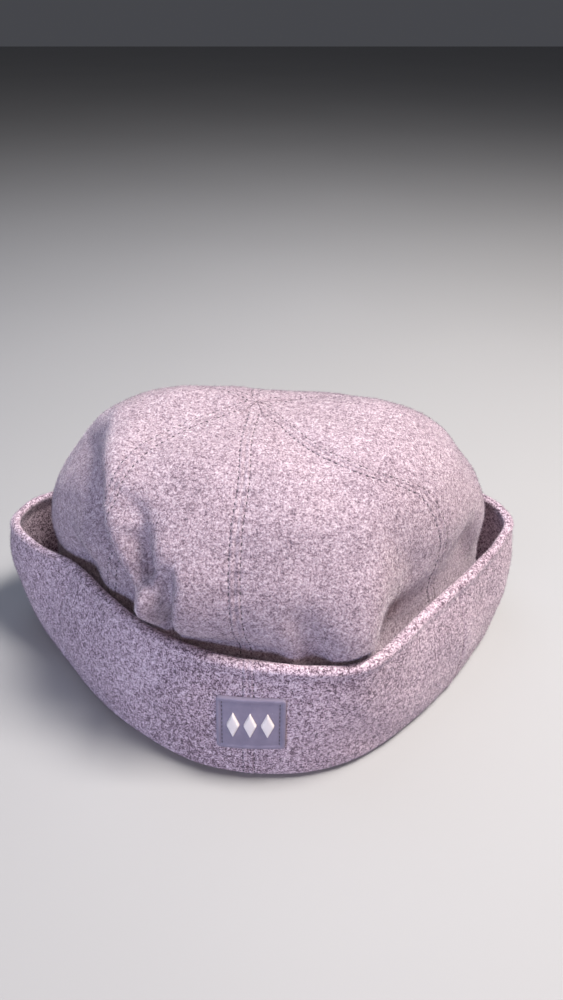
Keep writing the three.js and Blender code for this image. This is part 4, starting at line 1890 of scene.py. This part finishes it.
@dataclass
class Badge:
    """The badge: its plate with a raised edge, the stitches at its sides and three raised lozenges.

    Attributes:
        shop: the shared workshop.
        place: where the badge lies.
        width: the plate's width, in millimetres as the other sizes are.
        tall: its height.
        corner: radius of its corners.
        backing: gap between the cuff's face and the plate.
        plate_thickness: the plate's thickness at its raised edge.
        least_thickness: its thickness at the very outline.
        edge_round: radius of its rounded edge.
        edge_width: width of the raised edge.
        edge_height: how far it stands over the field.
        edge_fall: width of the slope between them.
        channel_depth: depth of the channels in which the stitches lie.
        channel_width: half width of a channel.
        channel_margin: distance of a channel's ends from the plate's ends.
        channel_fall: width over which a channel ends.
        stitch_inset: distance of the stitches from the plate's sides and ends.
        stitch_points: points of a row of stitches.
        stitch_sink: how far the stitches lie under the field.
        plate_grid: columns and rows of the plate.
        lozenge_width: width of a lozenge.
        lozenge_tall: its height.
        lozenge_tip: length of its blunt tips.
        lozenge_thickness: its thickness.
        lozenge_round: radius of its rounded sides.
        lozenge_edge: its thickness at the very outline.
        lozenge_dome: how far its middle is domed.
        dome_width: distance from its edge at which the dome is full.
        lozenge_sink: how far its back lies under the field.
        lozenge_grid: columns and rows of a lozenge.
        spacing: distance from one lozenge to the next.
        count: number of lozenges.
        stitch: sizes of the stitches.
    """

    shop: Workshop
    place: BadgePlace = BadgePlace()
    width: float = 29.4
    tall: float = 25.5
    corner: float = 1.6
    backing: float = 0.1
    plate_thickness: float = 1.35
    least_thickness: float = 0.12
    edge_round: float = 0.7
    edge_width: float = 1.5
    edge_height: float = 0.35
    edge_fall: float = 0.5
    channel_depth: float = 0.28
    channel_width: float = 0.45
    channel_margin: float = 2.2
    channel_fall: float = 0.8
    stitch_inset: float = 2.6
    stitch_points: int = 24
    stitch_sink: float = 0.12
    plate_grid: tuple[int, int] = (72, 64)
    lozenge_width: float = 5.4
    lozenge_tall: float = 12.0
    lozenge_tip: float = 0.7
    lozenge_thickness: float = 1.35
    lozenge_round: float = 0.8
    lozenge_edge: float = 0.1
    lozenge_dome: float = 0.12
    dome_width: float = 2.2
    lozenge_sink: float = 0.05
    lozenge_grid: tuple[int, int] = (30, 34)
    spacing: float = 7.2
    count: int = 3
    stitch: StitchSize = StitchSize(pitch=1.9, length=1.5, radius=0.2)

    @staticmethod
    def rounding(edge: np.ndarray, radius: float) -> np.ndarray:
        """A quarter round from 0 at the edge to 1 at a radius from it."""
        return np.sqrt(1 - (1 - np.clip(edge / radius, 0, 1)) ** 2)

    def plate_relief(self, edge: np.ndarray, across: np.ndarray, up: np.ndarray) -> np.ndarray:
        """The plate's thickness: a rounded raised edge round a flat field, with channels for the stitches.

        Args:
            edge: distance from the outline.
            across: place across the plate.
            up: place up it.

        Returns:
            The thickness at each place.
        """
        field = self.plate_thickness - self.edge_height * smooth((edge - self.edge_width) / self.edge_fall)
        off = np.abs(across) - (self.width / 2 - self.stitch_inset)
        channel = bell(off / self.channel_width)
        inside = smooth((self.tall / 2 - self.channel_margin - np.abs(up)) / self.channel_fall)
        body = (field - self.least_thickness) * self.rounding(edge, self.edge_round)
        return self.least_thickness + body - self.channel_depth * channel * inside

    def lozenge_relief(self, edge: np.ndarray, across: np.ndarray, up: np.ndarray) -> np.ndarray:
        """A lozenge's thickness: soft rounded sides and a gently domed face.

        Args:
            edge: distance from the outline.
            across: place across the lozenge, which its thickness doesn't need.
            up: place up it, which its thickness doesn't need.

        Returns:
            The thickness at each place.
        """
        dome = self.lozenge_dome * smooth(edge / self.dome_width)
        full = self.lozenge_thickness - self.lozenge_edge - self.lozenge_dome
        return self.lozenge_edge + full * self.rounding(edge, self.lozenge_round) + dome

    def stitches(self) -> list[Run]:
        """The rows of stitches at the plate's sides.

        Returns:
            A run for each side.
        """
        runs = []
        field = self.backing + self.plate_thickness - self.edge_height
        for side in (-1, 1):
            end = self.tall / 2 - self.stitch_inset
            up = np.linspace(-end, end, self.stitch_points)
            across = np.full_like(up, side * (self.width / 2 - self.stitch_inset))
            points = self.place.points(across, up, np.full_like(up, field - self.stitch_sink))
            x, y = around(np.degrees(np.arctan2(points[:, 0], -points[:, 1])))
            runs.append((points, np.stack([x, y, 0 * x], -1)))
        return runs

    def build(self) -> None:
        """Build the plate, its stitches and its lozenges."""
        shop = self.shop
        plate = Plate(Outline.ROUNDED, self.width, self.tall, self.corner, self.backing, self.plate_relief)
        wall = plate.grid(self.place, 0.0, *self.plate_grid)
        face = wall.object("badge_face", shop.shift, shop.finishes["badge"])
        shop.settle(face, "badge_rubber", "badge_plate")
        shop.sew("badge_stitches", "badge_rubber", self.stitches(), self.stitch)
        base = self.backing + self.plate_thickness - self.edge_height - self.lozenge_sink
        lozenge = Plate(Outline.LOZENGE, self.lozenge_width, self.lozenge_tall, self.lozenge_tip, base,
                        self.lozenge_relief)
        for i in range(self.count):
            middle = (i - (self.count - 1) / 2) * self.spacing
            wall = lozenge.grid(self.place, middle, *self.lozenge_grid)
            mark = wall.object(f"badge_mark_{i + 1}", shop.shift, shop.finishes["mark"])
            shop.settle(mark, "badge_mark", f"badge_lozenge_{i + 1}")


# The floor, lights and camera


@dataclass(frozen=True)
class SoftLight:
    """A square lamp that looks at the hat.

    Attributes:
        name: the lamp's name.
        place: its place, in metres.
        size: length of its side, in metres.
        power: its power, in watts.
        colour: its colour.
    """

    name: str
    place: Place
    size: float
    power: float
    colour: Colour

    def build(self, target: Vector) -> None:
        """Hang the lamp.

        Args:
            target: the place that it looks at.
        """
        lamp = bpy.data.lights.new(self.name, "AREA")
        lamp.size = self.size
        lamp.energy = self.power
        lamp.color = self.colour
        made = bpy.data.objects.new(self.name, lamp)
        made.location = self.place
        made.rotation_euler = (target - Vector(self.place)).to_track_quat("-Z", "Y").to_euler()
        bpy.context.scene.collection.objects.link(made)


@dataclass
class Studio:
    """The plain pale floor, soft lights and the camera at the photograph's angle.

    Attributes:
        shift: move from the hat's own middle to the frame, in metres.
        camera_place: the camera's place about the hat's middle, in millimetres.
        pitch: how far the camera looks down, in degrees.
        lens: focal length, for a sensor as long as the picture's long side.
        sensor: length of that side.
        clip_start: nearest distance that the camera sees, in metres.
        target: the place that the lamps look at, in metres.
        floor_half: half the floor's side, in metres.
        sky: colour of the light from all round.
        sky_strength: its strength.
        lights: the lamps.
    """

    shift: Vector
    camera_place: Place = (6.8, -293.8, 288.0)
    pitch: float = 35.0
    lens: float = 27.0
    sensor: float = 36.0
    clip_start: float = 0.01
    target: Place = (0.0, 0.0, 0.06)
    floor_half: float = 4.0
    sky: Colour = (0.86, 0.88, 1.0)
    sky_strength: float = 0.07
    lights: tuple[SoftLight, ...] = (
        SoftLight("key", (0.40, -0.02, 0.96), 0.30, 19.5, (1.0, 0.95, 0.93)),
        SoftLight("warm_right", (0.80, -0.80, 0.28), 0.5, 0.9, (1.0, 0.42, 0.38)),
        SoftLight("cool_top", (-0.20, 0.30, 1.00), 0.6, 3.0, (0.64, 0.74, 1.0)),
        SoftLight("cool_left", (-0.62, -1.10, 0.18), 0.4, 9.5, (0.58, 0.68, 1.0)),
        SoftLight("front_top", (0.05, -0.80, 0.85), 0.6, 1.8, (1.0, 0.86, 0.86)),
    )

    def build(self) -> None:
        """Lay the floor, hang the lights and set the camera."""
        self.lay_floor()
        for light in self.lights:
            light.build(Vector(self.target))
        self.light_room()
        self.set_camera()

    def lay_floor(self) -> None:
        """Lay the floor."""
        half = self.floor_half
        corners = [(-half, -half, 0), (half, -half, 0), (half, half, 0), (-half, half, 0)]
        mesh = bpy.data.meshes.new("floor")
        mesh.from_pydata(corners, [], [(0, 1, 2, 3)])
        mesh.materials.append(PaleFloor().make())
        floor = bpy.data.objects.new("floor", mesh)
        bpy.context.scene.collection.objects.link(floor)

    def light_room(self) -> None:
        """Light the room evenly and dimly from all round."""
        world = bpy.data.worlds.new("room")
        world.use_nodes = True
        background = world.node_tree.nodes["Background"]
        background.inputs["Color"].default_value = (*self.sky, 1.0)
        background.inputs["Strength"].default_value = self.sky_strength
        bpy.context.scene.world = world
        bpy.context.scene.view_settings.view_transform = "Standard"

    def set_camera(self) -> None:
        """Set the camera at the photograph's place and angle."""
        lens = bpy.data.cameras.new("camera")
        lens.lens = self.lens
        lens.sensor_width = self.sensor
        lens.clip_start = self.clip_start
        camera = bpy.data.objects.new("camera", lens)
        camera.location = Vector(self.camera_place) * MM + self.shift
        camera.rotation_euler = (math.radians(90 - self.pitch), 0, 0)
        bpy.context.scene.collection.objects.link(camera)
        bpy.context.scene.camera = camera


def make_finishes() -> dict[str, bpy.types.Material]:
    """Make the hat's finishes.

    Returns:
        The materials by name.
    """
    # The cuff's copy of the crown's wool is paler than the crown's: painted lightening for light that the
    # lamps give the cuff too little of.
    cuff_wool_painted_paler = HeatherWool(
        "heather_wool_cuff_painted_paler", dark=(0.095, 0.060, 0.080), low=(0.270, 0.192, 0.232),
        body=(0.470, 0.352, 0.412), light=(0.735, 0.610, 0.665), speck_scale=1350.0, contrast=1.8)
    slate = SoftRubber("slate_rubber", colour=(0.200, 0.170, 0.232), worn=(0.240, 0.205, 0.272))
    cream = SoftRubber(
        "cream_rubber", colour=(0.760, 0.700, 0.670), worn=(0.700, 0.630, 0.610), grain=0.2, roughness=0.5)
    return {
        "wool_crown": HeatherWool("heather_wool_crown").make(),
        "wool_cuff": cuff_wool_painted_paler.make(),
        "nap": WoolNap("wool_nap").make(),
        "thread": ThreadPaintedHoleShade().make(),
        "badge": slate.make(),
        "mark": cream.make(),
    }


def main() -> None:
    """Build the hat and its studio."""
    logging.basicConfig(level=logging.INFO, format="%(name)s %(message)s")
    finishes = make_finishes()
    Studio(FRAME_SHIFT).build()
    shop = Workshop(FRAME_SHIFT, finishes, StitchTree(), NapTree())
    Crown(shop).build()
    Cuff(shop).build()
    Badge(shop).build()


if __name__ == "__main__":
    main()
